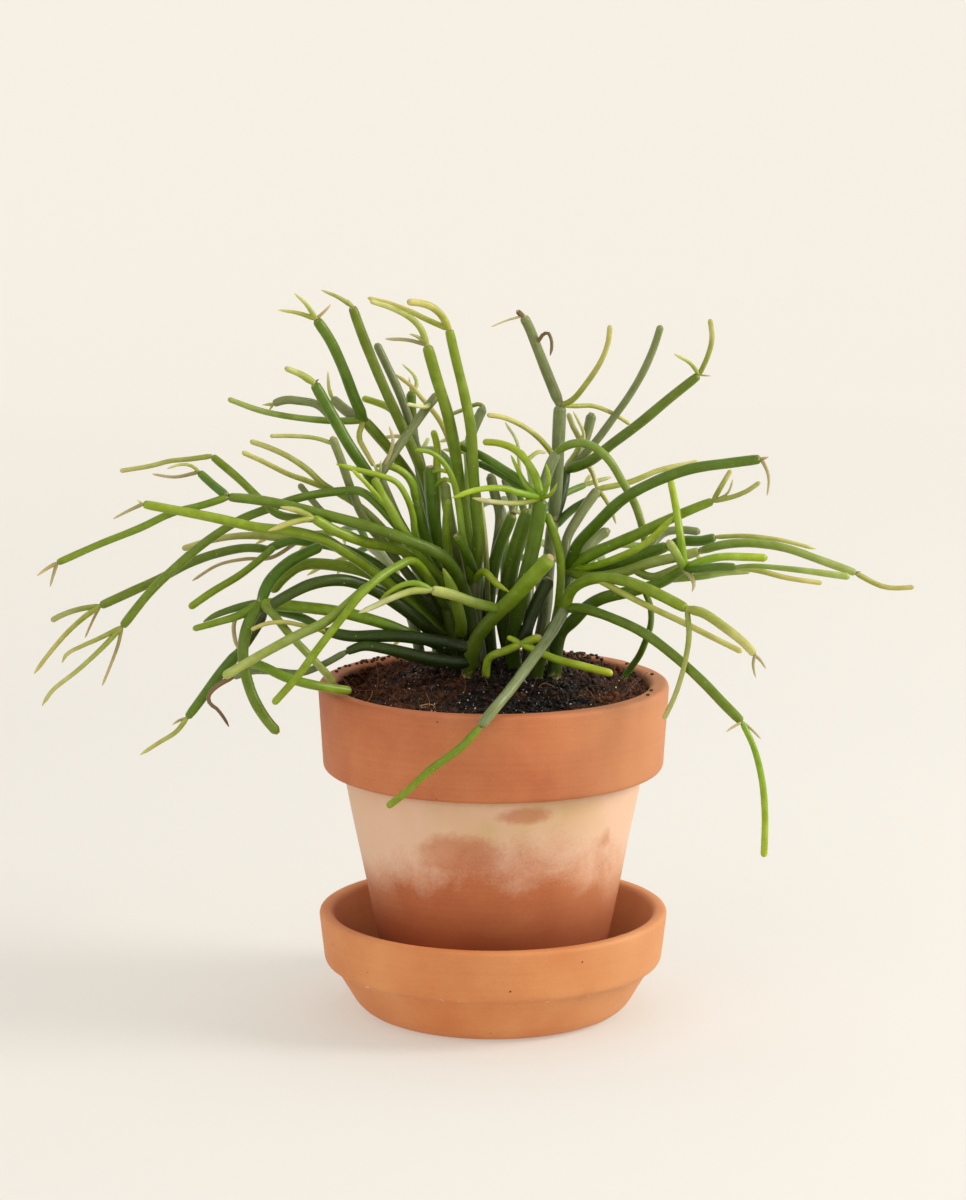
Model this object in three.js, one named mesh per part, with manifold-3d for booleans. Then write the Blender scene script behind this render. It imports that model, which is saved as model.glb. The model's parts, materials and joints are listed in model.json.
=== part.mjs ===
// A mistletoe cactus (Rhipsalis): pencil-thin jointed green stems, rooted in peaty soil in a
// terracotta pot that stands in a terracotta saucer.
// Millimetres, +Z up. The origin is the middle of the saucer's flat underside; -Y is the front.
import * as THREE from 'three';
import { mergeVertices } from 'three/addons/utils/BufferGeometryUtils.js';
import Module from 'manifold-3d';

const wasm = await Module();
wasm.setup();

// ---------------------------------------------------------------- driving dimensions

const TURNED_SEGMENTS = 37; // facets round the pot, the saucer and the soil; an odd number, so that
// one facet of the flat underside lies over its middle
const CLEARANCE = 0.3; // gap between pieces that touch

const SAUCER_HEIGHT = 38.4;
const SAUCER_FLOOR = 8.5; // top of the saucer's floor
const SAUCER_FOOT_RADIUS = 49;
const SAUCER_BAND_Z = 18.2; // underside of the saucer's band
const SAUCER_NECK_RADIUS = 59.8; // body under the band
const SAUCER_BAND_RADIUS = 62.9; // band at its lower edge
const SAUCER_LIP_RADIUS = 65.2;
const SAUCER_LIP_WIDTH = 5;
const SAUCER_INNER_FOOT_RADIUS = 48.5;
const BAND_STEP = 0.5; // how much the underside of a band rises towards its edge

const POT_FOOT_Z = SAUCER_FLOOR + CLEARANCE;
const POT_TOP_Z = 124.6;
const POT_FOOT_RADIUS = 39.4;
const POT_FLOOR = 6; // thickness of the pot's floor
const POT_BAND_Z = 91.9; // underside of the pot's band
const POT_NECK_RADIUS = 55.8; // body under the band
const POT_BAND_RADIUS = 63.2; // band at its lower edge
const POT_LIP_RADIUS = 65;
const POT_LIP_WIDTH = 7;
const POT_INNER_FOOT_RADIUS = 35.5;
const DRAIN_RADIUS = 7;

const SOIL_RIM_Z = 121.4; // soil where it meets the pot, in front
const SOIL_MOUND = 7.5; // how much higher it is round the stems
const SOIL_MOUND_SPREAD = 24;
const SOIL_CROWN = new THREE.Vector2(-3, 12);
const SOIL_LEFT_DIP = 5.5;
const SOIL_CLODS = 1.1; // height of the clods
const SOIL_FOOT_ROUND = 3; // the soil is rounded off this much round its foot

const ROOT_Z = 101; // where each stem's foot ends in the soil
const ROOT_NECK = -1; // height over the soil up to which a stem stands upright
const ROOTED_SAMPLES = 10; // a rooted stem keeps its place up to this sample
const ROOT_ROOM = 0.45; // how much wider than the stem its hole is, all round
const STEM_SPACING = 3; // distance between the samples of a stem
const RING_TOLERANCE = 1.2; // a stem bends between two rings by no more than this
const SKIN_TOLERANCE = 0.1; // how far a fused skin may move when its smallest facets merge

const STEM_GAP = 1; // free space between two shoots where they cross
const FACET_ROOM = 1.18; // a facetted stem reaches this much past its radius
const FIRST_FREE_SAMPLE = 5; // a stem may touch its own shoot up to here
const RUN_BREAK = 3; // two stems cross again where more samples than this lie between
const BEND_ROUNDS = 160;

// The stems' routes are laid out on an elevation sheet, as seen by an eye 1.35 m in front of the
// pot and a little above it. u runs right, v runs down, and depth is in mm behind the pot's axis.
const EYE = new THREE.Vector3(-3.8, -1350, 397.2);
const EYE_PITCH = THREE.MathUtils.degToRad(10.17);
const SHEET_REACH = 3714; // distance from the eye to the sheet, in sheet units
const SHEET_MIDDLE = { u: 483, v: 600 };
const SHEET_MM = 0.3705; // one sheet unit at the pot's axis

const CLAY_ROUGHNESS = 0.85;
const SOIL_ROUGHNESS = 1;
const STEM_ROUGHNESS = 0.45;
const TONES = {
  dark: '#3f6427', mid: '#557f2b', grey: '#62775a', young: '#84a033', pale: '#b4bd6c',
  tan: '#b29862', dry: '#7a5a3c',
};

// How far before the end a stem starts to narrow, in radii, and what is left of it at the end.
const ENDS = {
  joint: { from: 0, left: 0.92 },
  blunt: { from: 1.2, left: 0.7 },
  point: { from: 3.5, left: 0.45 },
  scar: { from: 0, left: 0.97 },
};

// [name, foot on the soil or stem that it grows from, how far along that stem, end,
//  width at its start and end in sheet units, tone, route as [u, v, depth]]
const ROUTES = [
  // the short scarred stem in front, with its pale forked side stem
  ['stub', [-9.5, -4.5], 0, 'scar', 13, 15.5, 'mid',
    [[475, 642, -10], [491, 620, -14], [511, 600, -20], [538, 571, -29], [551, 557, -33]]],
  ['stub_fork', 'stub', 0.64, 'joint', 10, 11, 'pale',
    [[487, 606, -20], [472, 602, -22], [456, 596, -25], [441, 592, -27], [431, 590, -28]]],
  ['stub_fork_a', 'stub_fork', 1, 'point', 7, 4, 'young',
    [[415, 583, -30], [400, 586, -31], [388, 593, -32], [379, 601, -33]]],
  ['stub_fork_b', 'stub_fork', 1, 'point', 8, 5, 'pale',
    [[412, 591, -31], [392, 598, -35], [375, 606, -38], [358, 613, -41]]],
  ['low_twig', [-2.8, -6], 0, 'joint', 7.5, 8.5, 'young',
    [[489, 658, -9], [505, 651, -12], [521, 644, -15]]],
  ['twig_tip', 'low_twig', 1, 'scar', 8, 8.5, 'young', [[531, 640, -16], [541, 637, -17]]],
  ['twig_back', 'low_twig', 1, 'blunt', 6.5, 5, 'young', [[514, 640, -14], [507, 637, -13]]],
  ['low_out', 'low_twig', 1, 'blunt', 7.5, 8, 'young',
    [[533, 649, -17], [548, 656, -19], [562, 661, -21], [590, 668, -23], [613, 674, -24]]],
  // right, low: two long arching stems and the pale one that hangs over the front of the rim
  ['right_low', [16, -3], 0, 'joint', 11, 12, 'dark',
    [[546, 640, -8], [557, 622, -12], [565, 609, -16]]],
  ['over_rim', 'right_low', 1, 'joint', 11, 10.5, 'grey',
    [[550, 635, -28], [530, 663, -45], [510, 690, -59], [495, 708, -67], [480, 727, -70]]],
  ['over_rim_tip', 'over_rim', 1, 'blunt', 8, 7, 'young',
    [[460, 748, -72], [430, 770, -73], [405, 793, -72], [387, 807, -71]]],
  ['right_arch', 'right_low', 1, 'joint', 11, 11, 'mid',
    [[571, 591, -19], [585, 581, -23], [605, 578, -28], [632, 583, -34], [660, 595, -40],
     [687, 609, -45]]],
  ['right_arch_end', 'right_arch', 1, 'joint', 9.5, 8.5, 'young',
    [[703, 613, -48], [724, 627, -51], [743, 642, -54], [755, 655, -56]]],
  ['right_arch_bud_a', 'right_arch_end', 1, 'point', 3.5, 2, 'tan', [[753, 665, -57], [756, 678, -58]]],
  ['right_arch_bud_b', 'right_arch_end', 1, 'point', 3.5, 2, 'tan', [[761, 661, -55], [766, 669, -54]]],
  ['rim_side', 'right_arch', 1, 'blunt', 5.5, 5, 'young',
    [[689, 635, -50], [685, 662, -52], [676, 693, -52], [664, 719, -49]]],
  ['right_second', 'right_arch', 0.34, 'blunt', 6.5, 6, 'young',
    [[632, 598, -36], [650, 607, -36], [680, 621, -38], [710, 636, -40], [742, 652, -42]]],
  ['right_long', 'right_low', 1, 'joint', 10, 9.5, 'dark',
    [[577, 608, -18], [592, 611, -24], [612, 618, -31], [642, 632, -39], [672, 654, -46],
     [702, 681, -52], [724, 704, -56], [742, 722, -59]]],
  ['right_long_tip', 'right_long', 1, 'blunt', 6, 7, 'young',
    [[754, 748, -61], [762, 780, -62], [765, 815, -62], [764, 857, -60]]],
  ['right_long_bud_a', 'right_long', 1, 'point', 3, 2, 'tan', [[733, 727, -62], [726, 732, -63]]],
  ['right_long_bud_b', 'right_long', 1, 'point', 3, 2, 'tan', [[750, 728, -57], [761, 739, -56]]],
  ['rim_inside', [48.5, 15], 0, 'blunt', 7.5, 6, 'dark',
    [[639, 656, 12], [646, 640, 6], [651, 622, -2], [650, 605, -8], [645, 592, -12]]],
  // right, under: the dark stem with a fan of short stems
  ['right_under', [22.5, 1], 0, 'joint', 16, 10, 'dark',
    [[560, 634, 0], [574, 620, -3], [588, 606, -6], [603, 598, -9], [628, 592, -14], [660, 583, -20],
     [684, 569, -27]]],
  ['under_a', 'right_under', 1, 'scar', 8.5, 8, 'young',
    [[700, 562, -28], [720, 557, -26], [745, 557, -23], [767, 558, -21]]],
  ['under_b', 'right_under', 1, 'joint', 8, 8.5, 'dark',
    [[700, 569, -33], [716, 567, -35], [736, 567, -36]]],
  ['under_b_tip', 'under_b', 1, 'blunt', 5.5, 5, 'young',
    [[760, 571, -34], [788, 578, -31], [822, 583, -27]]],
  ['under_b_long', 'under_b', 1, 'blunt', 4.5, 7, 'mid',
    [[755, 566, -40], [790, 569, -42], [822, 573, -43], [850, 577, -43]]],
  ['under_c', 'right_under', 0.92, 'blunt', 7.5, 6, 'mid',
    [[704, 576, -22], [722, 573, -20], [750, 571, -17]]],
  ['under_drop', 'right_under', 1, 'point', 6.5, 3, 'tan',
    [[691, 577, -31], [694, 584, -33], [692, 592, -34]]],
  ['under_pale', 'right_under', 1, 'scar', 8, 8.5, 'pale', [[676, 553, -32], [668, 541, -34]]],
  ['under_up', 'right_under', 1, 'blunt', 9, 6.5, 'young',
    [[681, 542, -27], [676, 508, -20], [670, 478, -12]]],
  // right, middle: six stems from one crown joint
  ['right_fan', [23.5, 10.5], 0, 'joint', 12, 13, 'dark',
    [[557, 625, 10], [563, 595, 8], [567, 570, 6]]],
  ['fan_high', 'right_fan', 1, 'joint', 12, 10, 'dark',
    [[577, 546, 0], [596, 525, -8], [622, 500, -17], [652, 483, -25], [690, 469, -32], [730, 463, -37],
     [761, 459, -41]]],
  ['fan_high_drop', 'fan_high', 1, 'point', 4, 2, 'tan',
    [[767, 470, -43], [769, 482, -44], [767, 496, -45]]],
  ['fan_high_nub', 'fan_high', 1, 'point', 5, 3, 'tan', [[769, 457, -42]]],
  ['fan_striped', 'right_fan', 1, 'joint', 9.5, 10.5, 'grey',
    [[566, 542, 11], [580, 515, 16], [598, 489, 21]]],
  ['striped_tip', 'fan_striped', 1, 'blunt', 6, 5.5, 'young',
    [[630, 482, 25], [660, 470, 29], [698, 462, 33]]],
  ['striped_drop', 'fan_striped', 1, 'point', 4.5, 3.5, 'pale',
    [[607, 502, 23], [613, 514, 24], [616, 524, 25]]],
  ['fan_grey', 'right_fan', 1, 'joint', 13.5, 9, 'mid',
    [[590, 555, 1], [615, 544, -4], [640, 533, -9], [672, 518, -13], [695, 508, -16], [713, 501, -18]]],
  ['fan_grey_a', 'fan_grey', 1, 'blunt', 5.5, 5, 'young', [[722, 485, -17], [731, 470, -15]]],
  ['fan_grey_b', 'fan_grey', 1, 'point', 3, 2, 'tan', [[728, 493, -20], [733, 479, -19]]],
  ['fan_grey_c', 'fan_grey', 1, 'blunt', 5.5, 4.5, 'young',
    [[732, 497, -21], [747, 491, -23], [760, 482, -25]]],
  ['fan_bright', 'right_fan', 1, 'point', 7.5, 7, 'young',
    [[590, 567, -2], [612, 560, -8], [640, 547, -15], [660, 531, -19], [674, 516, -22]]],
  ['fan_third', 'right_fan', 1, 'joint', 13, 12, 'dark',
    [[587, 574, 3], [615, 565, -1], [642, 555, -4], [668, 546, -7]]],
  ['fan_third_b', 'fan_third', 1, 'joint', 11, 10, 'dark',
    [[684, 541, -8], [700, 541, -9], [716, 537, -10]]],
  ['fan_third_tip', 'fan_third_b', 1, 'point', 5, 4, 'young',
    [[745, 536, -10], [780, 540, -8], [816, 549, -5]]],
  ['fan_third_up', 'fan_third', 0.8, 'scar', 8.5, 8, 'grey',
    [[664, 533, 2], [683, 530, 4], [700, 532, 5]]],
  ['fan_fourth', 'right_fan', 1, 'joint', 11, 10, 'mid',
    [[590, 577, -3], [620, 573, -7], [650, 563, -11], [682, 556, -14], [700, 551, -15]]],
  ['fan_fifth', 'fan_fourth', 0.55, 'scar', 8, 8.5, 'mid',
    [[652, 577, -12], [668, 572, -14], [690, 563, -17]]],
  ['fan_fourth_b', 'fan_fourth', 1, 'joint', 9, 8, 'mid',
    [[722, 545, -16], [750, 543, -16], [785, 548, -15], [820, 560, -13], [856, 573, -11]]],
  ['fan_fourth_tip', 'fan_fourth_b', 1, 'blunt', 5.5, 5, 'young',
    [[870, 581, -9], [885, 587, -8], [900, 588, -7], [914, 587, -6]]],
  ['fan_fourth_nub', 'fan_fourth_b', 1, 'point', 3.5, 2, 'tan', [[861, 571, -12]]],
  ['fan_tan', 'right_fan', 0.9, 'scar', 12, 11, 'tan',
    [[585, 551, 14], [598, 537, 18], [609, 530, 20]]],
  // right of the middle: the tall grey stem and the stems behind it
  ['tall_right', [15.5, 17], 0, 'joint', 13, 13, 'grey',
    [[545, 612, 18], [548, 570, 19], [553, 520, 20]]],
  ['tall_mast', 'tall_right', 1, 'joint', 12.5, 14, 'grey',
    [[556, 490, 20], [558, 450, 20], [560, 405, 20]]],
  ['tall_top', 'tall_mast', 1, 'scar', 11, 10, 'grey',
    [[549, 378, 19], [538, 350, 17], [529, 327, 15], [523, 316, 13]]],
  ['tall_hook', 'tall_top', 1, 'scar', 7, 5, 'dry', [[517, 311, 11]]],
  ['tall_thread', 'tall_top', 1, 'point', 2.5, 1.5, 'tan', [[508, 320, 9], [491, 327, 6]]],
  ['tall_side_bud', 'tall_top', 0.7, 'point', 4, 3, 'dry',
    [[547, 332, 12], [552, 343, 11], [550, 356, 10]]],
  ['mast_up', 'tall_mast', 0.97, 'blunt', 6, 5.5, 'young',
    [[571, 401, 18], [586, 384, 15], [601, 361, 13], [608, 343, 12], [610, 325, 12]]],
  ['mast_right', 'tall_mast', 0.97, 'blunt', 5, 4.5, 'young',
    [[575, 406, 26], [593, 406, 30], [612, 413, 33], [630, 424, 35]]],
  ['mast_left', 'tall_mast', 0.5, 'blunt', 6, 5, 'young',
    [[547, 447, 14], [533, 433, 8], [517, 423, 4], [502, 417, 2], [487, 415, 0]]],
  ['rear_fork', 'tall_right', 1, 'joint', 12, 12, 'dark', [[560, 500, 24], [566, 470, 29]]],
  ['rear_thin', 'rear_fork', 1, 'blunt', 8, 7.5, 'grey',
    [[580, 459, 30], [597, 440, 31], [614, 417, 32], [629, 396, 32], [643, 372, 31], [654, 347, 30],
     [661, 325, 29]]],
  ['rear_right', 'rear_fork', 1, 'joint', 11, 9.5, 'dark',
    [[590, 461, 25], [612, 444, 23], [640, 423, 21], [670, 398, 19], [699, 375, 17]]],
  ['rear_right_up', 'rear_right', 1, 'blunt', 5, 5.5, 'young',
    [[707, 358, 16], [712, 339, 15], [710, 319, 14]]],
  ['rear_right_left', 'rear_right', 1, 'point', 4.5, 3, 'young', [[690, 363, 14], [674, 354, 12]]],
  ['rear_right_thread', 'rear_right', 1, 'point', 2, 1.5, 'tan', [[711, 376, 17]]],
  ['rear_grey', 'rear_fork', 1, 'scar', 9, 11, 'grey',
    [[583, 445, 40], [588, 430, 43], [592, 413, 45]]],
  ['rear_light', 'rear_fork', 1, 'blunt', 6.5, 5.5, 'young',
    [[580, 442, 34], [574, 429, 35], [568, 413, 36]]],
  ['rear_pale', 'rear_fork', 1, 'point', 4, 3, 'pale',
    [[584, 438, 37], [580, 424, 39], [573, 411, 40]]],
  ['rear_drop', 'rear_fork', 1, 'blunt', 5.5, 5, 'pale', [[588, 466, 36], [598, 489, 36]]],
  ['rear_low', 'tall_right', 0.97, 'joint', 10, 7, 'dark',
    [[573, 509, 25], [590, 499, 27], [600, 493, 28]]],
  // the middle: thick stems up to a crown joint with bright tips
  ['middle', [7, 5], 0, 'joint', 14, 15, 'mid',
    [[514, 630, 1], [521, 595, -3], [531, 556, -8], [537, 525, -10], [541, 498, -11]]],
  ['middle_arch', 'middle', 1, 'blunt', 9, 6.5, 'young',
    [[536, 478, -8], [527, 462, -4], [514, 449, 0], [498, 443, 4], [483, 442, 7]]],
  ['middle_left', 'middle', 1, 'point', 7.5, 5, 'young',
    [[520, 493, -17], [500, 488, -21], [476, 490, -25], [452, 498, -29]]],
  ['middle_pale', 'middle', 1, 'point', 6, 4, 'pale',
    [[520, 503, -16], [495, 502, -20], [472, 498, -23]]],
  ['middle_tip_a', 'middle', 1, 'point', 5, 3, 'young', [[549, 481, -15], [546, 464, -17]]],
  ['middle_tip_b', 'middle', 1, 'point', 5, 3, 'young', [[551, 494, -17], [557, 483, -19]]],
  ['middle_tip_c', 'middle', 1, 'point', 7, 3, 'young',
    [[528, 487, -7], [520, 474, -2], [511, 455, 3]]],
  ['middle_tip_d', 'middle', 1, 'point', 4.5, 3, 'pale',
    [[522, 483, 3], [519, 462, 9], [517, 442, 12], [505, 422, 15]]],
  ['middle_short', 'middle', 1, 'joint', 10.5, 11, 'grey',
    [[546, 478, -5], [551, 464, -3], [557, 452, -1]]],
  ['middle_over', 'middle_short', 1, 'blunt', 8.5, 8, 'mid',
    [[566, 446, -4], [580, 443, -7], [594, 447, -9], [609, 460, -10], [622, 481, -9], [634, 502, -5],
     [641, 522, 1], [646, 545, 7]]],
  ['middle_back', 'middle', 0.96, 'blunt', 9, 8, 'dark',
    [[523, 483, 0], [503, 469, 8], [480, 455, 14], [460, 446, 18]]],
  ['middle_back_b', 'middle', 0.96, 'blunt', 8, 7, 'dark',
    [[512, 482, 4], [497, 472, 11], [478, 463, 18]]],
  ['middle_second', [7.5, 15], 0, 'joint', 20, 15, 'dark',
    [[504, 615, 11], [508, 585, 9], [514, 556, 6], [522, 530, 3], [529, 509, 1]]],
  ['middle_third', [-1, 21.5], 0, 'joint', 16, 12, 'dark',
    [[488, 610, 18], [492, 575, 15], [500, 545, 13], [513, 514, 11]]],
  ['middle_stump_a', 'middle_third', 0.75, 'scar', 11, 10, 'grey',
    [[500, 515, 18], [495, 495, 21], [490, 474, 24]]],
  ['middle_stump_b', 'middle_third', 1, 'scar', 9.5, 9, 'grey',
    [[513, 500, 16], [508, 488, 20], [505, 477, 23]]],
  ['middle_old', 'middle', 0.36, 'scar', 12, 14, 'dark',
    [[524, 636, -1], [532, 614, 0], [541, 594, 1], [550, 578, 2]]],
  ['middle_thin', 'middle_third', 0.45, 'blunt', 6, 5, 'young',
    [[486, 552, 11], [483, 520, 13], [480, 498, 14]]],
  ['right_bow', [15, 7], 0, 'blunt', 8.5, 8.5, 'young',
    [[554, 630, 4], [559, 600, 1], [561, 570, -2], [559, 550, -4], [553, 530, -5], [546, 513, -4]]],
  // left of the middle: the tall pair
  ['tall_left', [-5, 12.5], 0, 'joint', 17, 16, 'grey', [[475, 630, 8], [472, 600, 5], [475, 573, 3]]],
  ['pair_right', 'tall_left', 1, 'joint', 12, 9.5, 'mid',
    [[479, 545, 2], [477, 515, 3], [474, 480, 4], [471, 430, 5], [464, 393, 5], [456, 360, 5],
     [449, 329, 4]]],
  ['pair_right_a', 'pair_right', 1, 'blunt', 8, 7, 'young',
    [[442, 316, 2], [432, 307, 0], [420, 303, -2], [407, 302, -4]]],
  ['pair_right_b', 'pair_right', 1, 'scar', 6.5, 4, 'young',
    [[428, 320, 7], [405, 309, 10], [385, 302, 12], [368, 298, 14]]],
  ['pair_left', 'tall_left', 1, 'joint', 12, 11.5, 'mid',
    [[470, 553, 9], [465, 520, 11], [459, 480, 11], [454, 445, 9], [447, 412, 6], [437, 380, 4],
     [427, 345, 2]]],
  ['pair_left_a', 'pair_left', 1, 'blunt', 7, 5, 'young',
    [[421, 329, 0], [412, 319, -1], [394, 309, -3], [370, 301, -5]]],
  ['pair_left_b', 'pair_left', 1, 'point', 4.5, 3, 'tan', [[408, 340, 4], [385, 339, 6]]],
  ['pair_left_c', 'pair_left', 1, 'point', 5, 2, 'young', [[418, 337, 0], [409, 334, -1]]],
  ['pair_long', 'pair_left', 0.3, 'point', 7, 4, 'young',
    [[458, 490, 17], [455, 465, 18], [448, 438, 19], [438, 418, 20], [425, 402, 21], [411, 386, 21],
     [395, 374, 22]]],
  ['pair_low_a', 'tall_left', 1, 'blunt', 9.5, 9, 'mid',
    [[468, 556, -4], [461, 543, -7], [455, 535, -9]]],
  ['pair_low_b', 'tall_left', 0.97, 'point', 9, 6, 'young',
    [[485, 572, -6], [497, 584, -9], [509, 592, -11]]],
  ['pair_arch', 'tall_left', 0.9, 'blunt', 9.5, 4.5, 'mid',
    [[463, 540, -5], [459, 508, -4], [453, 480, -5], [443, 462, -6], [430, 452, -8], [415, 450, -10]]],
  ['pair_rear', 'pair_right', 0.35, 'scar', 10, 10, 'grey',
    [[470, 440, 20], [477, 421, 23], [484, 407, 25]]],
  ['pair_rear_tip', 'pair_rear', 1, 'blunt', 4.5, 4, 'young',
    [[478, 404, 27], [465, 409, 28], [452, 414, 29]]],
  // left of the middle: shorter stems with bright tips
  ['inner_left', [-9.5, 20], 0, 'joint', 12, 11, 'mid',
    [[455, 612, 16], [442, 578, 11], [428, 545, 8], [420, 518, 6], [416, 502, 5]]],
  ['inner_left_a', 'inner_left', 1, 'point', 9.5, 6, 'young',
    [[413, 485, 3], [404, 473, 1], [389, 466, -1], [373, 466, -3]]],
  ['inner_left_b', 'inner_left', 0.62, 'point', 8, 5, 'young',
    [[416, 537, 1], [413, 516, -2], [407, 498, -5], [396, 482, -8], [378, 475, -10], [354, 469, -12],
     [336, 464, -14]]],
  ['inner_left_c', 'inner_left', 0.5, 'blunt', 7.5, 8, 'young',
    [[447, 548, 6], [446, 525, 4], [448, 499, 3]]],
  ['inner_mid', [-4, 28.5], 0, 'scar', 12, 11, 'mid',
    [[466, 600, 24], [456, 550, 19], [448, 510, 16], [444, 482, 15]]],
  ['inner_dark', [-11, 28], 0, 'scar', 13, 14, 'dark',
    [[452, 600, 22], [441, 560, 17], [434, 520, 14], [430, 466, 13]]],
  ['inner_dark_a', 'inner_dark', 0.97, 'blunt', 5, 4, 'young', [[439, 470, 8], [448, 472, 5]]],
  ['inner_dark_b', 'inner_dark', 0.9, 'blunt', 5, 4, 'young', [[445, 479, 8], [455, 484, 5]]],
  ['inner_dark_c', 'inner_dark', 0.75, 'blunt', 9, 7, 'young',
    [[437, 462, 22], [437, 445, 24], [433, 430, 25]]],
  // upper left: long stems that lean out to the left
  ['upper_tall', [-19.5, 30.5], 0, 'joint', 12, 10, 'dark',
    [[436, 600, 28], [439, 560, 25], [434, 515, 22], [424, 478, 19], [412, 448, 17], [399, 420, 15],
     [386, 392, 13], [374, 364, 12], [362, 334, 11], [352, 306, 10]]],
  ['upper_tall_a', 'upper_tall', 1, 'point', 5.5, 2.5, 'young', [[338, 297, 8], [321, 290, 6]]],
  ['upper_tall_b', 'upper_tall', 1, 'point', 4, 3, 'pale', [[348, 299, 10]]],
  ['upper_second', 'upper_tall', 0.55, 'blunt', 9, 8.5, 'grey',
    [[409, 420, 20], [399, 392, 21], [387, 366, 22], [376, 343, 23]]],
  ['upper_stump', 'upper_tall', 0.4, 'scar', 10, 10, 'dark',
    [[416, 450, 26], [412, 420, 28], [411, 391, 29]]],
  ['upper_stump_a', 'upper_stump', 1, 'point', 5, 2.5, 'pale',
    [[417, 385, 31], [413, 374, 33], [402, 364, 35]]],
  ['upper_stump_b', 'upper_stump', 1, 'point', 3, 2, 'pale', [[409, 377, 30]]],
  ['upper_bright', 'upper_tall', 0.62, 'blunt', 8, 7, 'young',
    [[393, 411, 22], [378, 403, 25], [362, 398, 27]]],
  ['fork', [-11.5, 36.5], 0, 'joint', 12, 11, 'dark',
    [[457, 600, 36], [444, 555, 34], [428, 508, 29], [406, 471, 22], [385, 444, 16], [364, 420, 12]]],
  ['fork_up', 'fork', 1, 'joint', 11.5, 10.5, 'dark',
    [[354, 397, 9], [343, 368, 7], [330, 340, 5], [316, 319, 3]]],
  ['fork_up_a', 'fork_up', 1, 'point', 5.5, 2.5, 'young', [[306, 304, 2], [294, 293, 1]]],
  ['fork_up_b', 'fork_up', 1, 'point', 5.5, 2.5, 'young', [[298, 313, 2], [278, 310, 0]]],
  ['fork_up_c', 'fork_up', 1, 'point', 3.5, 2, 'tan', [[326, 310, 5], [331, 304, 6]]],
  ['fork_out', 'fork', 1, 'blunt', 7.5, 5.5, 'mid',
    [[340, 421, 12], [300, 418, 9], [262, 411, 4], [228, 399, -1]]],
  ['fork_back', 'fork', 1, 'joint', 12, 10, 'grey', [[348, 412, 17], [332, 398, 21]]],
  ['fork_back_tip', 'fork_back', 1, 'point', 4.5, 2.5, 'pale', [[329, 388, 22], [328, 371, 23]]],
  ['fork_down', 'fork', 1, 'blunt', 6, 5, 'young', [[359, 437, 8], [366, 452, 5], [374, 466, 2]]],
  ['upper_left', [-17, 22.5], 0, 'joint', 12, 11.5, 'dark',
    [[438, 602, 17], [422, 565, 12], [402, 528, 8], [384, 498, 5], [367, 472, 3], [349, 445, 1],
     [332, 415, 0], [314, 383, -2]]],
  ['upper_left_tip', 'upper_left', 1, 'scar', 8.5, 5.5, 'young', [[300, 374, -4], [285, 368, -6]]],
  ['upper_left_nub', 'upper_left', 1, 'point', 4, 3, 'dry', [[319, 379, -2]]],
  ['upper_left_rear', 'upper_left', 0.87, 'joint', 8.5, 8.5, 'grey',
    [[318, 405, 3], [300, 401, 5], [285, 400, 6], [273, 404, 7]]],
  ['rear_bud_a', 'upper_left_rear', 1, 'point', 4, 2, 'pale', [[262, 405, 7]]],
  ['rear_bud_b', 'upper_left_rear', 1, 'point', 4, 2, 'pale', [[269, 411, 6]]],
  ['upper_left_short', 'upper_left', 0.3, 'scar', 9.5, 8.5, 'grey',
    [[385, 545, 0], [364, 518, -4], [351, 489, -7], [341, 460, -9], [332, 437, -11]]],
  ['short_tip', 'upper_left_short', 0.96, 'blunt', 4.5, 4, 'young',
    [[315, 438, -12], [292, 436, -14], [270, 436, -16]]],
  ['left_pair', 'upper_left', 0.38, 'joint', 8.5, 7.5, 'mid',
    [[375, 520, -3], [352, 501, -7], [335, 491, -9]]],
  ['left_pair_a', 'left_pair', 1, 'blunt', 6.5, 5.5, 'young',
    [[324, 485, -10], [308, 470, -12], [289, 457, -13], [270, 448, -14], [250, 441, -15]]],
  ['left_pair_b', 'left_pair', 1, 'blunt', 6, 5, 'young',
    [[318, 485, -7], [305, 480, -6], [288, 474, -5], [264, 462, -4], [242, 452, -3]]],
  ['left_pair_c', 'left_pair', 0.6, 'scar', 7, 6.5, 'grey',
    [[330, 517, 2], [312, 500, 4], [299, 484, 5]]],
  ['cross_grey', 'upper_left', 0.36, 'joint', 7.5, 8.5, 'grey',
    [[400, 522, -3], [389, 497, -6], [380, 476, -8]]],
  ['cross_grey_up', 'cross_grey', 1, 'scar', 9, 9, 'grey',
    [[392, 456, -3], [410, 431, 3], [425, 410, 8], [438, 394, 13]]],
  ['cross_bud_a', 'cross_grey', 1, 'point', 4.5, 2.5, 'pale', [[373, 463, -10]]],
  ['cross_bud_b', 'cross_grey', 1, 'point', 3.5, 2, 'pale', [[381, 460, -11]]],
  ['cross_bud_c', 'cross_grey_up', 0.85, 'blunt', 4.5, 4, 'pale', [[424, 407, 2], [407, 404, 0]]],
  ['cross_bud_d', 'cross_grey_up', 0.08, 'point', 4, 3, 'tan', [[393, 441, -7], [389, 426, -8]]],
  // left: two long nearly level stems
  ['left_long', [-7, 4], 0, 'joint', 14, 9.5, 'dark',
    [[471, 618, 5], [462, 585, 1], [443, 557, -8], [405, 539, -15], [370, 527, -18], [330, 516, -20],
     [290, 506, -21], [258, 500, -22], [228, 497, -23]]],
  ['long_out', 'left_long', 1, 'joint', 7.5, 7, 'mid',
    [[203, 505, -24], [172, 513, -25], [140, 528, -26], [100, 544, -27], [57, 563, -28]]],
  ['long_out_a', 'long_out', 1, 'point', 4.5, 2.5, 'tan', [[46, 569, -29], [37, 576, -30]]],
  ['long_out_b', 'long_out', 1, 'point', 4, 2, 'tan', [[53, 576, -29], [50, 587, -29]]],
  ['long_up', 'left_long', 1, 'joint', 9, 8.5, 'dark', [[212, 484, -18], [199, 472, -15]]],
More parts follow.
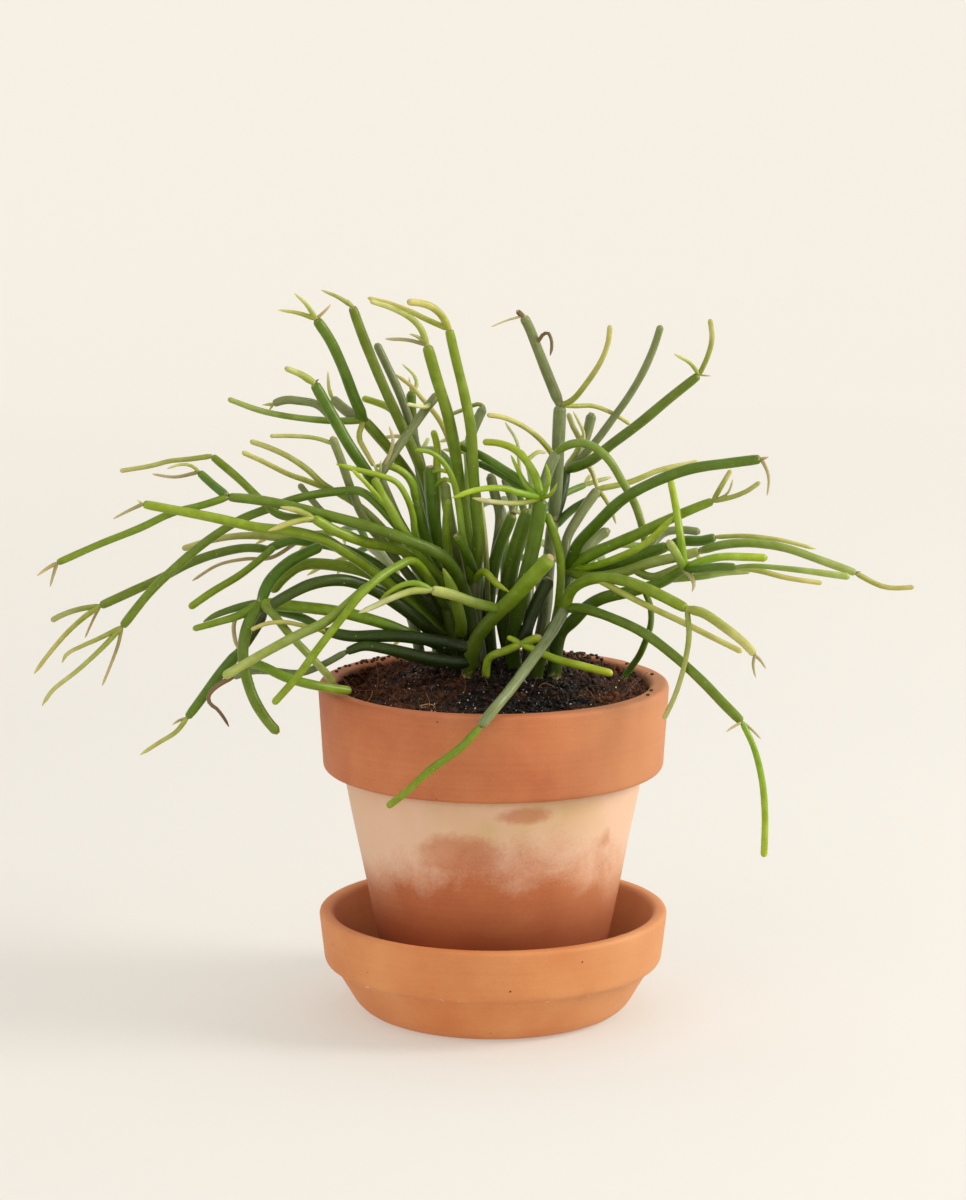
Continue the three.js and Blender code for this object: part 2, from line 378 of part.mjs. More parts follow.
  ['long_up_a', 'long_up', 1, 'point', 4, 2.5, 'tan', [[175, 477, -14], [152, 474, -13]]],
  ['long_up_b', 'long_up', 1, 'point', 4, 2, 'young',
    [[190, 465, -16], [178, 465, -17], [167, 469, -18]]],
  ['long_high', 'left_long', 0.74, 'joint', 8, 8, 'dark',
    [[280, 515, -14], [262, 501, -10], [238, 478, -8], [212, 456, -7]]],
  ['long_high_tip', 'long_high', 1, 'blunt', 5.5, 4.5, 'young',
    [[190, 459, -6], [170, 461, -5], [150, 466, -4], [120, 471, -3]]],
  ['bright_short', 'left_long', 0.3, 'joint', 10.5, 9.5, 'young',
    [[403, 531, -13], [391, 510, -15], [382, 495, -16], [374, 478, -17]]],
  ['bright_tip', 'bright_short', 0.8, 'point', 6, 4, 'young', [[362, 479, -20], [351, 469, -22]]],
  ['droop', 'bright_short', 0.62, 'joint', 8.5, 9, 'dark',
    [[362, 492, -13], [345, 491, -12], [318, 494, -12], [295, 499, -12], [270, 508, -11],
     [240, 520, -9], [207, 541, -8], [176, 567, -9], [150, 592, -11], [122, 627, -14]]],
  ['droop_a', 'droop', 1, 'point', 5.5, 3.5, 'young',
    [[100, 638, -15], [80, 647, -16], [67, 654, -17], [62, 663, -17]]],
  ['droop_b', 'droop', 1, 'point', 5.5, 4, 'young',
    [[102, 648, -16], [78, 670, -18], [52, 691, -20], [42, 706, -21]]],
  ['droop_c', 'droop', 1, 'point', 4, 2.5, 'tan', [[118, 645, -13], [111, 664, -12], [102, 686, -11]]],
  ['left_mid', [-15.5, 8], 0, 'joint', 13, 10, 'mid',
    [[450, 624, 5], [442, 590, 1], [425, 563, -4], [398, 549, -9], [365, 542, -15], [338, 532, -21],
     [313, 518, -26]]],
  ['blade', 'left_mid', 0.3, 'point', 14, 11, 'dark',
    [[461, 628, -4], [456, 603, -7], [449, 582, -9], [443, 568, -10]]],
  ['left_mid_a', 'left_mid', 1, 'point', 6.5, 5, 'young', [[299, 511, -28], [280, 507, -30]]],
  ['left_mid_b', 'left_mid', 1, 'point', 6, 5.5, 'young', [[290, 523, -32], [268, 531, -36]]],
  ['arch', 'left_mid', 0.42, 'blunt', 9, 7.5, 'mid',
    [[413, 561, -19], [398, 566, -26], [380, 577, -33], [362, 593, -39], [342, 618, -43],
     [320, 646, -46], [297, 677, -47], [273, 704, -47]]],
  ['arch_side', 'arch', 0.5, 'blunt', 10, 9, 'young',
    [[325, 622, -42], [300, 634, -41], [275, 647, -41], [250, 661, -42], [223, 677, -43]]],
  // left, wide bright stem that lies over the others
  ['left_bright', 'left_mid', 0.29, 'joint', 12.5, 9, 'young',
    [[437, 632, 3], [412, 606, -2], [384, 580, -8], [363, 564, -13], [345, 552, -17], [325, 540, -21],
     [290, 531, -25], [255, 527, -28], [220, 519, -31], [180, 511, -35], [143, 504, -38]]],
  ['bright_bud_a', 'left_bright', 1, 'point', 4, 2, 'tan', [[128, 511, -39], [113, 519, -40]]],
  ['bright_bud_b', 'left_bright', 1, 'point', 4, 2.5, 'pale', [[137, 500, -38]]],
  // left, dark stems
  ['left_dark', 'left_mid', 0.31, 'joint', 12, 9, 'dark',
    [[438, 625, 12], [410, 592, 9], [388, 573, 7], [365, 558, 6], [340, 548, 5], [315, 543, 5],
     [290, 541, 5], [268, 549, 5]]],
  ['dark_out', 'left_dark', 1, 'joint', 9, 9, 'dark',
    [[245, 548, 5], [215, 554, 5], [190, 563, 5], [165, 576, 4], [135, 590, 3], [100, 606, 2]]],
  ['dark_out_a', 'dark_out', 1, 'blunt', 5.5, 6, 'young', [[80, 609, 2], [62, 615, 1], [51, 621, 0]]],
  ['dark_out_b', 'dark_out', 1, 'point', 6, 4, 'young',
    [[82, 619, -2], [65, 635, -4], [48, 655, -6], [34, 674, -8]]],
  ['dark_out_c', 'dark_out', 1, 'point', 3.5, 2, 'tan', [[92, 622, 6], [85, 638, 8]]],
  ['dark_down', 'left_dark', 0.97, 'blunt', 7.5, 7.5, 'young',
    [[258, 561, -1], [240, 575, -4], [212, 592, -7], [189, 608, -9]]],
  ['dark_thin', 'left_dark', 0.85, 'point', 4.5, 3, 'tan',
    [[270, 558, 12], [245, 559, 15], [218, 565, 16], [192, 581, 16]]],
  ['dark_level', 'left_dark', 0.86, 'blunt', 8.5, 6, 'young',
    [[262, 536, 9], [238, 536, 9], [212, 540, 8], [182, 549, 7]]],
  // left, low: the stems that meet at a hanging joint
  ['left_low', 'left_mid', 0.28, 'joint', 11, 12, 'mid',
    [[434, 643, -1], [410, 634, -9], [388, 625, -12], [365, 618, -13], [345, 613, -14], [320, 609, -16],
     [290, 606, -18], [260, 603, -19]]],
  ['low_up', 'left_low', 1, 'blunt', 12, 11, 'dark',
    [[270, 581, -15], [288, 563, -12], [306, 553, -9], [322, 546, -7]]],
  ['low_left_a', 'left_low', 1, 'point', 9.5, 5, 'dark',
    [[236, 608, -15], [216, 615, -14], [203, 622, -13]]],
  ['low_left_b', 'left_low', 1, 'scar', 9.5, 6, 'young',
    [[240, 615, -22], [218, 622, -25], [193, 629, -28]]],
  ['low_hang', 'left_low', 1, 'scar', 12, 10, 'grey',
    [[248, 625, -24], [243, 650, -27], [246, 675, -29], [254, 699, -30], [266, 719, -30],
     [278, 733, -29]]],
  ['low_rim', 'left_low', 1, 'blunt', 8.5, 7.5, 'young',
    [[272, 613, -22], [290, 635, -24], [310, 656, -23], [324, 671, -20], [334, 683, -17]]],
  ['low_rim_b', 'low_hang', 0.42, 'blunt', 10, 9, 'mid',
    [[262, 666, -36], [285, 677, -38], [305, 683, -37], [330, 688, -33], [351, 691, -28]]],
  ['low_dry', 'low_hang', 0.12, 'point', 4.5, 4, 'tan',
    [[236, 618, -20], [234, 634, -19], [238, 650, -19]]],
  ['low_dark', 'left_low', 0.99, 'joint', 10, 11, 'dark',
    [[262, 616, -12], [253, 632, -10], [240, 651, -9]]],
  ['low_dark_out', 'low_dark', 1, 'joint', 12, 8.5, 'dark',
    [[224, 669, -10], [208, 690, -11], [197, 705, -11], [187, 718, -11]]],
  ['dark_tip_a', 'low_dark_out', 1, 'point', 5.5, 3.5, 'young',
    [[176, 732, -12], [160, 742, -13], [140, 755, -14]]],
  ['dark_tip_b', 'low_dark_out', 1, 'point', 3.5, 2, 'tan', [[180, 720, -10], [172, 725, -9]]],
  // left, lowest: broad stems that leave the crown close to the soil
  ['wide_light', 'left_mid', 0.3, 'blunt', 13, 11, 'mid',
    [[437, 629, 9], [410, 602, 7], [388, 584, 5], [368, 573, 3], [340, 566, 1], [303, 565, -1],
     [284, 577, -3], [271, 592, -4]]],
  ['wide_brown', 'left_mid', 0.29, 'blunt', 14, 11, 'dark',
    [[438, 637, 2], [415, 617, -4], [390, 599, -9], [365, 586, -15], [340, 580, -21], [312, 584, -26],
     [290, 594, -28], [270, 606, -29]]],
  ['level_dark', 'stub', 0.41, 'joint', 14, 11, 'dark',
    [[455, 645, -7], [430, 640, -9], [400, 636, -11], [372, 636, -13], [350, 636, -15], [325, 631, -17]]],
  ['level_dark_end', 'level_dark', 1, 'blunt', 9.5, 8.5, 'dark',
    [[305, 619, -15], [286, 613, -11], [274, 611, -8]]],
  ['level_thin', 'level_dark', 0.98, 'blunt', 5, 4, 'young',
    [[300, 625, -22], [283, 622, -24], [265, 624, -25], [251, 630, -25]]],
  ['lowest', 'stub', 0.37, 'joint', 16, 9, 'dark',
    [[452, 662, -10], [430, 659, -13], [405, 653, -16], [382, 648, -18], [363, 646, -19], [346, 652, -20]]],
  ['lowest_out', 'lowest', 1, 'joint', 6.5, 8, 'grey',
    [[322, 665, -20], [300, 673, -20], [272, 671, -19], [250, 671, -18], [233, 677, -18]]],
  ['shrivelled', 'lowest_out', 1, 'point', 5.5, 3, 'dry',
    [[220, 684, -19], [210, 693, -19], [208, 701, -19], [217, 709, -19], [224, 718, -18],
     [229, 727, -17]]],
];

// The stems behind the crown: [x, y of the foot, heading in degrees (90 is straight back), length,
// how steeply the stem rises at its start and at its end, in degrees]
const BACK_STEMS = [
  [20, 27, 94, 56, 74, 8], [23.5, 19, 74, 50, 76, 14], [13, 29.5, 86, 56, 84, 40],
  [5, 33, 90, 92, 72, 2], [8, 41, 98, 58, 58, -12], [-3, 36.5, 102, 70, 84, 38],
  [-20.5, 39.5, 112, 74, 64, 0], [-27, 28, 124, 66, 74, 12],
];
const BACK_SEED = 5;
const BACK_WIDTHS = { cane: [4.3, 3.8], side: [2.8, 2.6], tip: [2, 1.4] };

// ---------------------------------------------------------------- small helpers

function seededRandom(seed) {
  let state = seed >>> 0;
  return () => {
    state = (state + 0x6d2b79f5) >>> 0;
    let mixed = Math.imul(state ^ (state >>> 15), state | 1);
    mixed ^= mixed + Math.imul(mixed ^ (mixed >>> 7), mixed | 61);
    return ((mixed ^ (mixed >>> 14)) >>> 0) / 4294967296;
  };
}

// The point at sheet place (u, v) that lies depth mm behind the pot's axis.
function sight(u, v, depth) {
  const rise = (SHEET_MIDDLE.v - v) / SHEET_REACH;
  const across = (u - SHEET_MIDDLE.u) / SHEET_REACH;
  const sin = Math.sin(EYE_PITCH);
  const cos = Math.cos(EYE_PITCH);
  const away = (depth - EYE.y) / (cos + rise * sin);
  return new THREE.Vector3(EYE.x + away * across, depth, EYE.z + away * (rise * cos - sin));
}

// A closed (radius, z) outline; a corner [radius, z, fillet, steps] is rounded in that many steps.
function roundedOutline(corners) {
  const places = corners.map(([radius, z]) => new THREE.Vector2(radius, z));
  return corners.flatMap(([, , fillet, steps], index) => {
    const corner = places[index];
    if (!fillet) return [corner];
    const before = places.at(index - 1).clone().sub(corner).setLength(fillet).add(corner);
    const after = places[(index + 1) % places.length].clone().sub(corner).setLength(fillet).add(corner);
    return new THREE.QuadraticBezierCurve(before, corner, after).getPoints(steps);
  });
}

// A body turned round the Z axis; its outline runs up the outside and down the inside.
function turned(outline) {
  return new THREE.LatheGeometry(outline, TURNED_SEGMENTS).rotateX(Math.PI / 2);
}

function toSolid(geometry) {
  const bare = new THREE.BufferGeometry();
  bare.setAttribute('position', geometry.getAttribute('position'));
  bare.setIndex(geometry.index);
  const merged = mergeVertices(bare);
  return new wasm.Manifold(new wasm.Mesh({
    numProp: 3,
    vertProperties: Float32Array.from(merged.getAttribute('position').array),
    triVerts: Uint32Array.from(merged.index.array),
  }));
}

function toGeometry(solid) {
  const { vertProperties, triVerts } = solid.getMesh();
  const geometry = new THREE.BufferGeometry();
  geometry.setAttribute('position', new THREE.BufferAttribute(vertProperties, 3));
  geometry.setIndex(new THREE.BufferAttribute(triVerts, 1));
  geometry.computeVertexNormals();
  return geometry;
}

// Where fusing seals a hollow or cuts a scrap loose, the main body is what stays.
function largest(solids) {
  return solids.reduce((best, solid) => (solid.volume() > best.volume() ? solid : best));
}

// ---------------------------------------------------------------- pot, saucer and soil

function potGeometry() {
  const inner = POT_LIP_RADIUS - POT_LIP_WIDTH;
  const ring = roundedOutline([
    [POT_FOOT_RADIUS, POT_FOOT_Z, 2, 1],
    [POT_NECK_RADIUS, POT_BAND_Z, 0],
    [POT_BAND_RADIUS, POT_BAND_Z + BAND_STEP, 2.5, 1],
    [POT_LIP_RADIUS, POT_TOP_Z, 2, 2],
    [inner, POT_TOP_Z, 2, 2],
    [POT_INNER_FOOT_RADIUS, POT_FOOT_Z + POT_FLOOR, 0],
    [DRAIN_RADIUS, POT_FOOT_Z + POT_FLOOR, 0],
    [DRAIN_RADIUS, POT_FOOT_Z, 0],
  ]);
  return turned([...ring, ring[0]]);
}

function saucerGeometry() {
  return turned(roundedOutline([
    [0, 0, 0],
    [SAUCER_FOOT_RADIUS, 0, 6, 2],
    [SAUCER_NECK_RADIUS, SAUCER_BAND_Z, 0],
    [SAUCER_BAND_RADIUS, SAUCER_BAND_Z + BAND_STEP, 2, 1],
    [SAUCER_LIP_RADIUS, SAUCER_HEIGHT, 2, 2],
    [SAUCER_LIP_RADIUS - SAUCER_LIP_WIDTH, SAUCER_HEIGHT, 2, 2],
    [SAUCER_INNER_FOOT_RADIUS, SAUCER_FLOOR, 5, 2],
    [0, SAUCER_FLOOR, 0],
  ]));
}

// Radius of the pot's inside at a height.
function potInside(z) {
  const floor = POT_FOOT_Z + POT_FLOOR;
  const share = (z - floor) / (POT_TOP_Z - floor);
  return THREE.MathUtils.lerp(POT_INNER_FOOT_RADIUS, POT_LIP_RADIUS - POT_LIP_WIDTH, share);
}

// Height of the soil: a mound round the stems, a dip along the left side, and clods all over.
function soilZ(x, y) {
  const reach = Math.hypot(x - SOIL_CROWN.x, y - SOIL_CROWN.y) / SOIL_MOUND_SPREAD;
  const mound = SOIL_MOUND * Math.exp(-(reach ** 2) / 2);
  const dip = SOIL_LEFT_DIP * THREE.MathUtils.smoothstep(-x, 28, 52);
  const clods = Math.sin(0.9 * x + 1.7 * Math.sin(0.55 * y)) * Math.cos(0.8 * y + 1.3 * Math.sin(0.5 * x));
  return SOIL_RIM_Z + mound - dip + SOIL_CLODS * clods;
}

// The soil fills the pot down to its floor. Its side has the pot's own facets, a clearance inside them.
function soilSolid() {
  const shares = [0.25, 0.5, 0.76, 1];
  const floorZ = POT_FOOT_Z + POT_FLOOR + CLEARANCE;
  const positions = [0, 0, soilZ(0, 0)];
  const indices = [];
  const addRing = (place) => {
    for (let spoke = 0; spoke < TURNED_SEGMENTS; spoke += 1) {
      const angle = (2 * Math.PI * spoke) / TURNED_SEGMENTS;
      positions.push(...place(Math.sin(angle), -Math.cos(angle)));
    }
  };
  shares.forEach((share) => addRing((sin, cos) => {
    let radius = share * (potInside(SOIL_RIM_Z) - CLEARANCE);
    const z = soilZ(radius * sin, radius * cos);
    if (share === 1) radius = potInside(z) - CLEARANCE;
    return [radius * sin, radius * cos, z];
  }));
  const footSide = potInside(floorZ + SOIL_FOOT_ROUND) - CLEARANCE;
  addRing((sin, cos) => [footSide * sin, footSide * cos, floorZ + SOIL_FOOT_ROUND]);
  const footEdge = POT_INNER_FOOT_RADIUS - SOIL_FOOT_ROUND;
  addRing((sin, cos) => [footEdge * sin, footEdge * cos, floorZ]);
  const underside = positions.length / 3;
  positions.push(0, 0, floorZ);
  const rings = shares.length + 2;
  for (let spoke = 0; spoke < TURNED_SEGMENTS; spoke += 1) {
    const next = (spoke + 1) % TURNED_SEGMENTS;
    indices.push(0, 1 + spoke, 1 + next);
    for (let ring = 0; ring < rings - 1; ring += 1) {
      const inner = 1 + ring * TURNED_SEGMENTS;
      const outer = inner + TURNED_SEGMENTS;
      indices.push(inner + spoke, outer + spoke, outer + next, inner + spoke, outer + next, inner + next);
    }
    const last = 1 + (rings - 1) * TURNED_SEGMENTS;
    indices.push(underside, last + next, last + spoke);
  }
  const geometry = new THREE.BufferGeometry();
  geometry.setAttribute('position', new THREE.Float32BufferAttribute(positions, 3));
  geometry.setIndex(indices);
  return toSolid(geometry);
}

// ---------------------------------------------------------------- the stems' paths

// Where a place is drawn on the elevation sheet, in mm across and up from the point the eye faces.
function sheetPlace({ x, y, z }) {
  const [sin, cos] = [Math.sin(EYE_PITCH), Math.cos(EYE_PITCH)];
  const away = (y - EYE.y) * cos - (z - EYE.z) * sin;
  const rise = (y - EYE.y) * sin + (z - EYE.z) * cos;
  return new THREE.Vector2(x - EYE.x, rise).multiplyScalar((SHEET_REACH * SHEET_MM) / away);
}

// Samples a stem's path at even steps; each sample can still shift in depth.
function makeStem({ name, shoot, from, kind, widths, tone, points }) {
  const curve = new THREE.CatmullRomCurve3(points, false, 'centripetal');
  const length = curve.getLength();
  const count = Math.max(2, Math.round(length / STEM_SPACING));
  const path = curve.getSpacedPoints(count);
  const radii = path.map((_, index) => THREE.MathUtils.lerp(widths[0], widths[1], index / count) / 2);
  return { name, shoot, from, kind, tone, length, path, radii, shift: path.map(() => 0) };
}

// The sample of a stem that lies a share of its length along it; a joint sits just inside the end.
function sampleAt(stem, share) {
  return Math.min(Math.round(share * (stem.path.length - 1)), stem.path.length - 1);
}

function routedStems() {
  const stems = new Map();
  ROUTES.forEach(([name, from, along, kind, start, end, tone, route]) => {
    const points = route.map(([u, v, depth]) => sight(u, v, depth));
    const parent = stems.get(from);
    const origin = parent && { parent, sample: sampleAt(parent, along) };
    if (parent) {
      points.unshift(parent.path[origin.sample].clone());
    } else {
      points.unshift(...rootPoints(...from));
    }
    const widths = [start * SHEET_MM, end * SHEET_MM];
    stems.set(name, makeStem({
      name, shoot: parent ? parent.shoot : name, from: origin, kind, widths, tone, points,
    }));
  });
  return [...stems.values()];
}

// Every rooted stem comes straight up out of the soil.
function rootPoints(x, y) {
  const top = soilZ(x, y) + ROOT_NECK;
  return [ROOT_Z, (ROOT_Z + top) / 2, top].map((z) => new THREE.Vector3(x, y, z));
}

// A stem behind the crown rises, leans over and ends in a few shoots that have tips of their own.
function backStems() {
  const random = seededRandom(BACK_SEED);
  const between = (low, high) => low + (high - low) * random();
  const walk = (start, heading, turn, elevations, length) => {
    const points = [start];
    const step = length / elevations.length;
    elevations.forEach((elevation, index) => {
      const angle = THREE.MathUtils.degToRad(heading + turn * (index / elevations.length));
      const rise = THREE.MathUtils.degToRad(elevation);
      points.push(points.at(-1).clone().add(new THREE.Vector3(
        step * Math.cos(rise) * Math.cos(angle),
        step * Math.cos(rise) * Math.sin(angle),
        step * Math.sin(rise),
      )));
    });
    return points;
  };
  return BACK_STEMS.flatMap(([x, y, heading, length, first, last], index) => {
    const shoot = `back_${index + 1}`;
    const roots = rootPoints(x, y);
    const slopes = [0, 1, 2, 3, 4].map((bend) => THREE.MathUtils.lerp(first, last, bend / 4));
    const cane = makeStem({
      name: shoot, shoot, kind: 'joint', tone: random() < 0.6 ? 'dark' : 'grey', widths: BACK_WIDTHS.cane,
      points: [...roots.slice(0, -1), ...walk(roots.at(-1), heading, between(-14, 14), slopes, length)],
    });
    const stems = [cane];
    const sideShoots = random() < 0.5 ? 2 : 3;
    for (let side = 0; side < sideShoots; side += 1) {
      const swing = (side - (sideShoots - 1) / 2) * between(24, 34);
      const out = makeStem({
        name: `${shoot}_${side + 1}`, shoot, from: { parent: cane, sample: cane.path.length - 1 },
        kind: 'joint', tone: random() < 0.5 ? 'mid' : 'dark', widths: BACK_WIDTHS.side,
        points: walk(cane.path.at(-1).clone(), heading + swing, between(-15, 15),
          [last + between(-15, 15), last - 20, last - 25 + between(-20, 10)], between(34, 58)),
      });
      stems.push(out);
      for (let bud = 0; bud < 2; bud += 1) {
        stems.push(makeStem({
          name: `${out.name}_tip_${bud + 1}`, shoot, from: { parent: out, sample: out.path.length - 1 },
          kind: 'point', tone: 'young', widths: BACK_WIDTHS.tip,
          points: walk(out.path.at(-1).clone(), heading + swing + (bud - 0.5) * between(40, 70), 10,
            [last - between(10, 35), last - between(30, 50)], between(12, 26)),
        }));
      }
    }
    return stems;
  });
}

// ---------------------------------------------------------------- keeping stems clear of each other

// Where two stems pass too close, seen from the front: the samples, the depth that they need
// between them, and which of the two is behind.
function crossings(stems) {
  const found = [];
  const overlap = (a, b) => a.box.intersectsBox(b.box);
  stems.forEach((stem) => {
    stem.drawn = stem.path.map(sheetPlace);
    stem.box = new THREE.Box2().setFromPoints(stem.drawn).expandByScalar(5);
  });
  stems.forEach((a, index) => stems.slice(index + 1).forEach((b) => {
    if (!overlap(a, b)) return;
    const close = [];
    const sameShoot = a.shoot === b.shoot;
    a.drawn.forEach((p, i) => b.drawn.forEach((q, j) => {
      if (sameShoot && ((a.from && i < FIRST_FREE_SAMPLE) || (b.from && j < FIRST_FREE_SAMPLE))) return;
      const need = FACET_ROOM * (a.radii[i] + b.radii[j]) + (sameShoot ? 0 : STEM_GAP);
      const spread = p.distanceTo(q);
      if (spread < need) close.push({ a, i, b, j, depth: Math.sqrt(need ** 2 - spread ** 2) });
    }));
    splitRuns(close).forEach((run) => {
      const behind = run.reduce((sum, { i, j }) => sum + a.path[i].y - b.path[j].y, 0) >= 0 ? 1 : -1;
      found.push(...run.map((pair) => ({ ...pair, behind })));
    });
  }));
  return found;
}

// Splits close pairs into one run for each place where the two stems cross.
function splitRuns(pairs) {
  const runs = [];
  pairs.forEach((pair) => {
    if (!runs.length || pair.i > runs.at(-1).at(-1).i + RUN_BREAK) runs.push([]);
    runs.at(-1).push(pair);
  });
  return runs;
}

// Bends stems along the lines of sight, towards the eye or away from it, until none crosses another.
function bendClear(stems) {
  const pairs = crossings(stems);
  const pinned = (stem, sample) => !stem.from && sample < ROOTED_SAMPLES;
  for (let round = 0; round < BEND_ROUNDS; round += 1) {
    stems.forEach((stem) => {
      stem.push = stem.path.map(() => 0);
      stem.pushes = stem.path.map(() => 0);
    });
    pairs.forEach(({ a, i, b, j, depth, behind }) => {
      const apart = behind * (a.path[i].y + a.shift[i] - b.path[j].y - b.shift[j]);
      if (apart >= depth) return;
      const free = (pinned(a, i) ? 0 : 1) + (pinned(b, j) ? 0 : 1);
      const push = (behind * (depth - apart)) / Math.max(free, 1);
      a.push[i] += push;
      b.push[j] -= push;
      a.pushes[i] += 1;
      b.pushes[j] += 1;
    });
    stems.forEach((stem) => {
      const moved = stem.shift.map((shift, i) => (pinned(stem, i) ? 0
        : shift + stem.push[i] / Math.max(stem.pushes[i], 1)));
      if (stem.from) moved[0] = stem.from.parent.shift[stem.from.sample];
      const last = moved.length - 1;
      stem.shift = moved.map((shift, i) => ((pinned(stem, i) || (stem.from && i === 0)) ? shift
        : (moved[i - 1] + 2 * shift + moved[Math.min(i + 1, last)]) / 4));
    });
  }
  stems.forEach((stem) => stem.path.forEach((place, i) => {
    const range = place.y - EYE.y;
    place.sub(EYE).multiplyScalar((range + stem.shift[i]) / range).add(EYE);
  }));
}

// ---------------------------------------------------------------- the stems' skins

// Keeps the samples that a stem's bends need, and those where its end starts to narrow.
function ringSamples(stem) {
  const { path } = stem;
  const keep = new Set([0, path.length - 1]);
  const split = (from, to) => {
    const chord = new THREE.Line3(path[from], path[to]);
    let worst = RING_TOLERANCE;
    let at = -1;
    for (let i = from + 1; i < to; i += 1) {
      const off = chord.closestPointToPoint(path[i], true, new THREE.Vector3()).distanceTo(path[i]);
      if (off > worst) {
        worst = off;
        at = i;
      }
    }
    if (at < 0) return;
    keep.add(at);
    split(from, at);
    split(at, to);
  };
  split(0, path.length - 1);
  const narrowing = Math.round((ENDS[stem.kind].from * stem.radii.at(-1)) / STEM_SPACING);
  if (narrowing && narrowing < path.length - 1) keep.add(path.length - 1 - narrowing);
  return [...keep].sort((a, b) => a - b);
}

function sidesFor(radius) {
  if (radius > 2.35) return 5;
  return radius > 1.5 ? 4 : 3;
}

// A stem's closed skin: rings of facets that cover as much area as the round stem does.
function stemSolid(stem, samples, extra = 0) {
  const { path, radii } = stem;
  const sides = sidesFor(radii[0]);
  const fullness = Math.sqrt((2 * Math.PI) / (sides * Math.sin((2 * Math.PI) / sides)));
  const normal = new THREE.Vector3(0, 1, 0);
  const positions = [];
  const indices = [];
  samples.forEach((sample, ring) => {
    const ahead = path[Math.min(sample + 1, path.length - 1)];
    const behind = path[Math.max(sample - 1, 0)];
    const tangent = ahead.clone().sub(behind).normalize();
    normal.addScaledVector(tangent, -normal.dot(tangent)).normalize();
    const binormal = tangent.clone().cross(normal);
    const atEnd = sample === path.length - 1 ? ENDS[stem.kind].left : 1;
    const radius = radii[sample] * fullness * atEnd + extra;
    for (let side = 0; side < sides; side += 1) {
      const angle = (2 * Math.PI * side) / sides;
      const place = path[sample].clone()
        .addScaledVector(normal, radius * Math.cos(angle))
        .addScaledVector(binormal, radius * Math.sin(angle));
      positions.push(...place.toArray());
    }
    if (ring === 0) return;
    const low = (ring - 1) * sides;
    for (let side = 0; side < sides; side += 1) {
      const next = (side + 1) % sides;
      indices.push(low + side, low + next, low + sides + next);
      indices.push(low + side, low + sides + next, low + sides + side);
    }
  });
  const top = (samples.length - 1) * sides;
  for (let side = 1; side < sides - 1; side += 1) {
    indices.push(0, side + 1, side, top, top + side, top + side + 1);
  }
  const geometry = new THREE.BufferGeometry();
  geometry.setAttribute('position', new THREE.Float32BufferAttribute(positions, 3));
  geometry.setIndex(indices);
  return toSolid(geometry);
}

// The plain hole that a rooted stem stands in.
function rootHole(stem) {
  const above = stem.path.findIndex(({ x, y, z }) => z > soilZ(x, y) + 2 * SOIL_CLODS + stem.radii[0]);
  const samples = ringSamples(stem);
  const rings = samples.slice(0, samples.findIndex((sample) => sample > above) + 1);
  const sunk = stem.path[0].clone().setZ(ROOT_Z - CLEARANCE);
  return stemSolid({ ...stem, path: [sunk, ...stem.path.slice(1)] }, rings, ROOT_ROOM);
}

// ---------------------------------------------------------------- the whole plant in its pot

const cactus = new THREE.Group();

function add(name, geometry, colour, roughness) {
  const material = new THREE.MeshStandardMaterial({ color: colour, roughness, metalness: 0 });
  const mesh = new THREE.Mesh(geometry, material);
  mesh.name = name;
  cactus.add(mesh);
}

const stems = [...routedStems(), ...backStems()];
bendClear(stems);
const rooted = stems.filter((stem) => !stem.from);

const soil = rooted.reduce((solid, stem) => solid.subtract(rootHole(stem)), soilSolid());

// Simplifying merges the facets round the middle of the saucer's underside and floor.
add('saucer', toGeometry(toSolid(saucerGeometry()).simplify()), '#d2824a', CLAY_ROUGHNESS);
add('pot', potGeometry(), '#c97a52', CLAY_ROUGHNESS);
add('soil', toGeometry(soil), '#33231a', SOIL_ROUGHNESS);

rooted.forEach((root) => {
  const own = stems.filter((stem) => stem.shoot === root.shoot);
  const fused = wasm.Manifold.union(own.map((stem) => stemSolid(stem, ringSamples(stem))));
  const solid = largest(fused.simplify(SKIN_TOLERANCE).decompose());
  add(`shoot_${root.name}`, toGeometry(solid), TONES[root.tone], STEM_ROUGHNESS);
});

export default cactus;
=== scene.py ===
"""A mistletoe cactus (Rhipsalis) in a terracotta pot on a terracotta saucer: its looks.

The pot, the saucer and the soil keep the sizes of the frame. Each shoot is grown again along its own route,
as a smooth jointed stem with its side stems, tips, corky collars and areoles.
"""
import json
import math
import random

import bpy
import numpy as np
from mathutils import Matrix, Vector, noise

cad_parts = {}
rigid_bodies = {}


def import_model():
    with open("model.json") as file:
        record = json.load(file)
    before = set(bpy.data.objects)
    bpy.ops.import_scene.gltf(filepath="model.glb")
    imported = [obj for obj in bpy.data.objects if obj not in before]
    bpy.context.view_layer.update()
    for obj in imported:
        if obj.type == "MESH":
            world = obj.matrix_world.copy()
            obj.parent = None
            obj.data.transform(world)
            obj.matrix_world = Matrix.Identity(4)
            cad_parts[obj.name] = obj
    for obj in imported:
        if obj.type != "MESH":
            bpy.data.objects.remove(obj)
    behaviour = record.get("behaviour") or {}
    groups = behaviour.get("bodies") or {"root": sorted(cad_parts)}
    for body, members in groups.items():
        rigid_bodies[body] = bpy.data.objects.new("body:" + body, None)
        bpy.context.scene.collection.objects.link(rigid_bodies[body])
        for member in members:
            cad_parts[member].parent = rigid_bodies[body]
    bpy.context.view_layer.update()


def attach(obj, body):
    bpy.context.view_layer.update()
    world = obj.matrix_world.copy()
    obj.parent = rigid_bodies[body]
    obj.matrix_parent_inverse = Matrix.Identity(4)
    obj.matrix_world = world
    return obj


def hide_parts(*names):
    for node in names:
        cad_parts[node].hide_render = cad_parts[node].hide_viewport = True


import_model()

MM = 0.001  # in metres

# ---- sizes of the clay and the soil, in mm

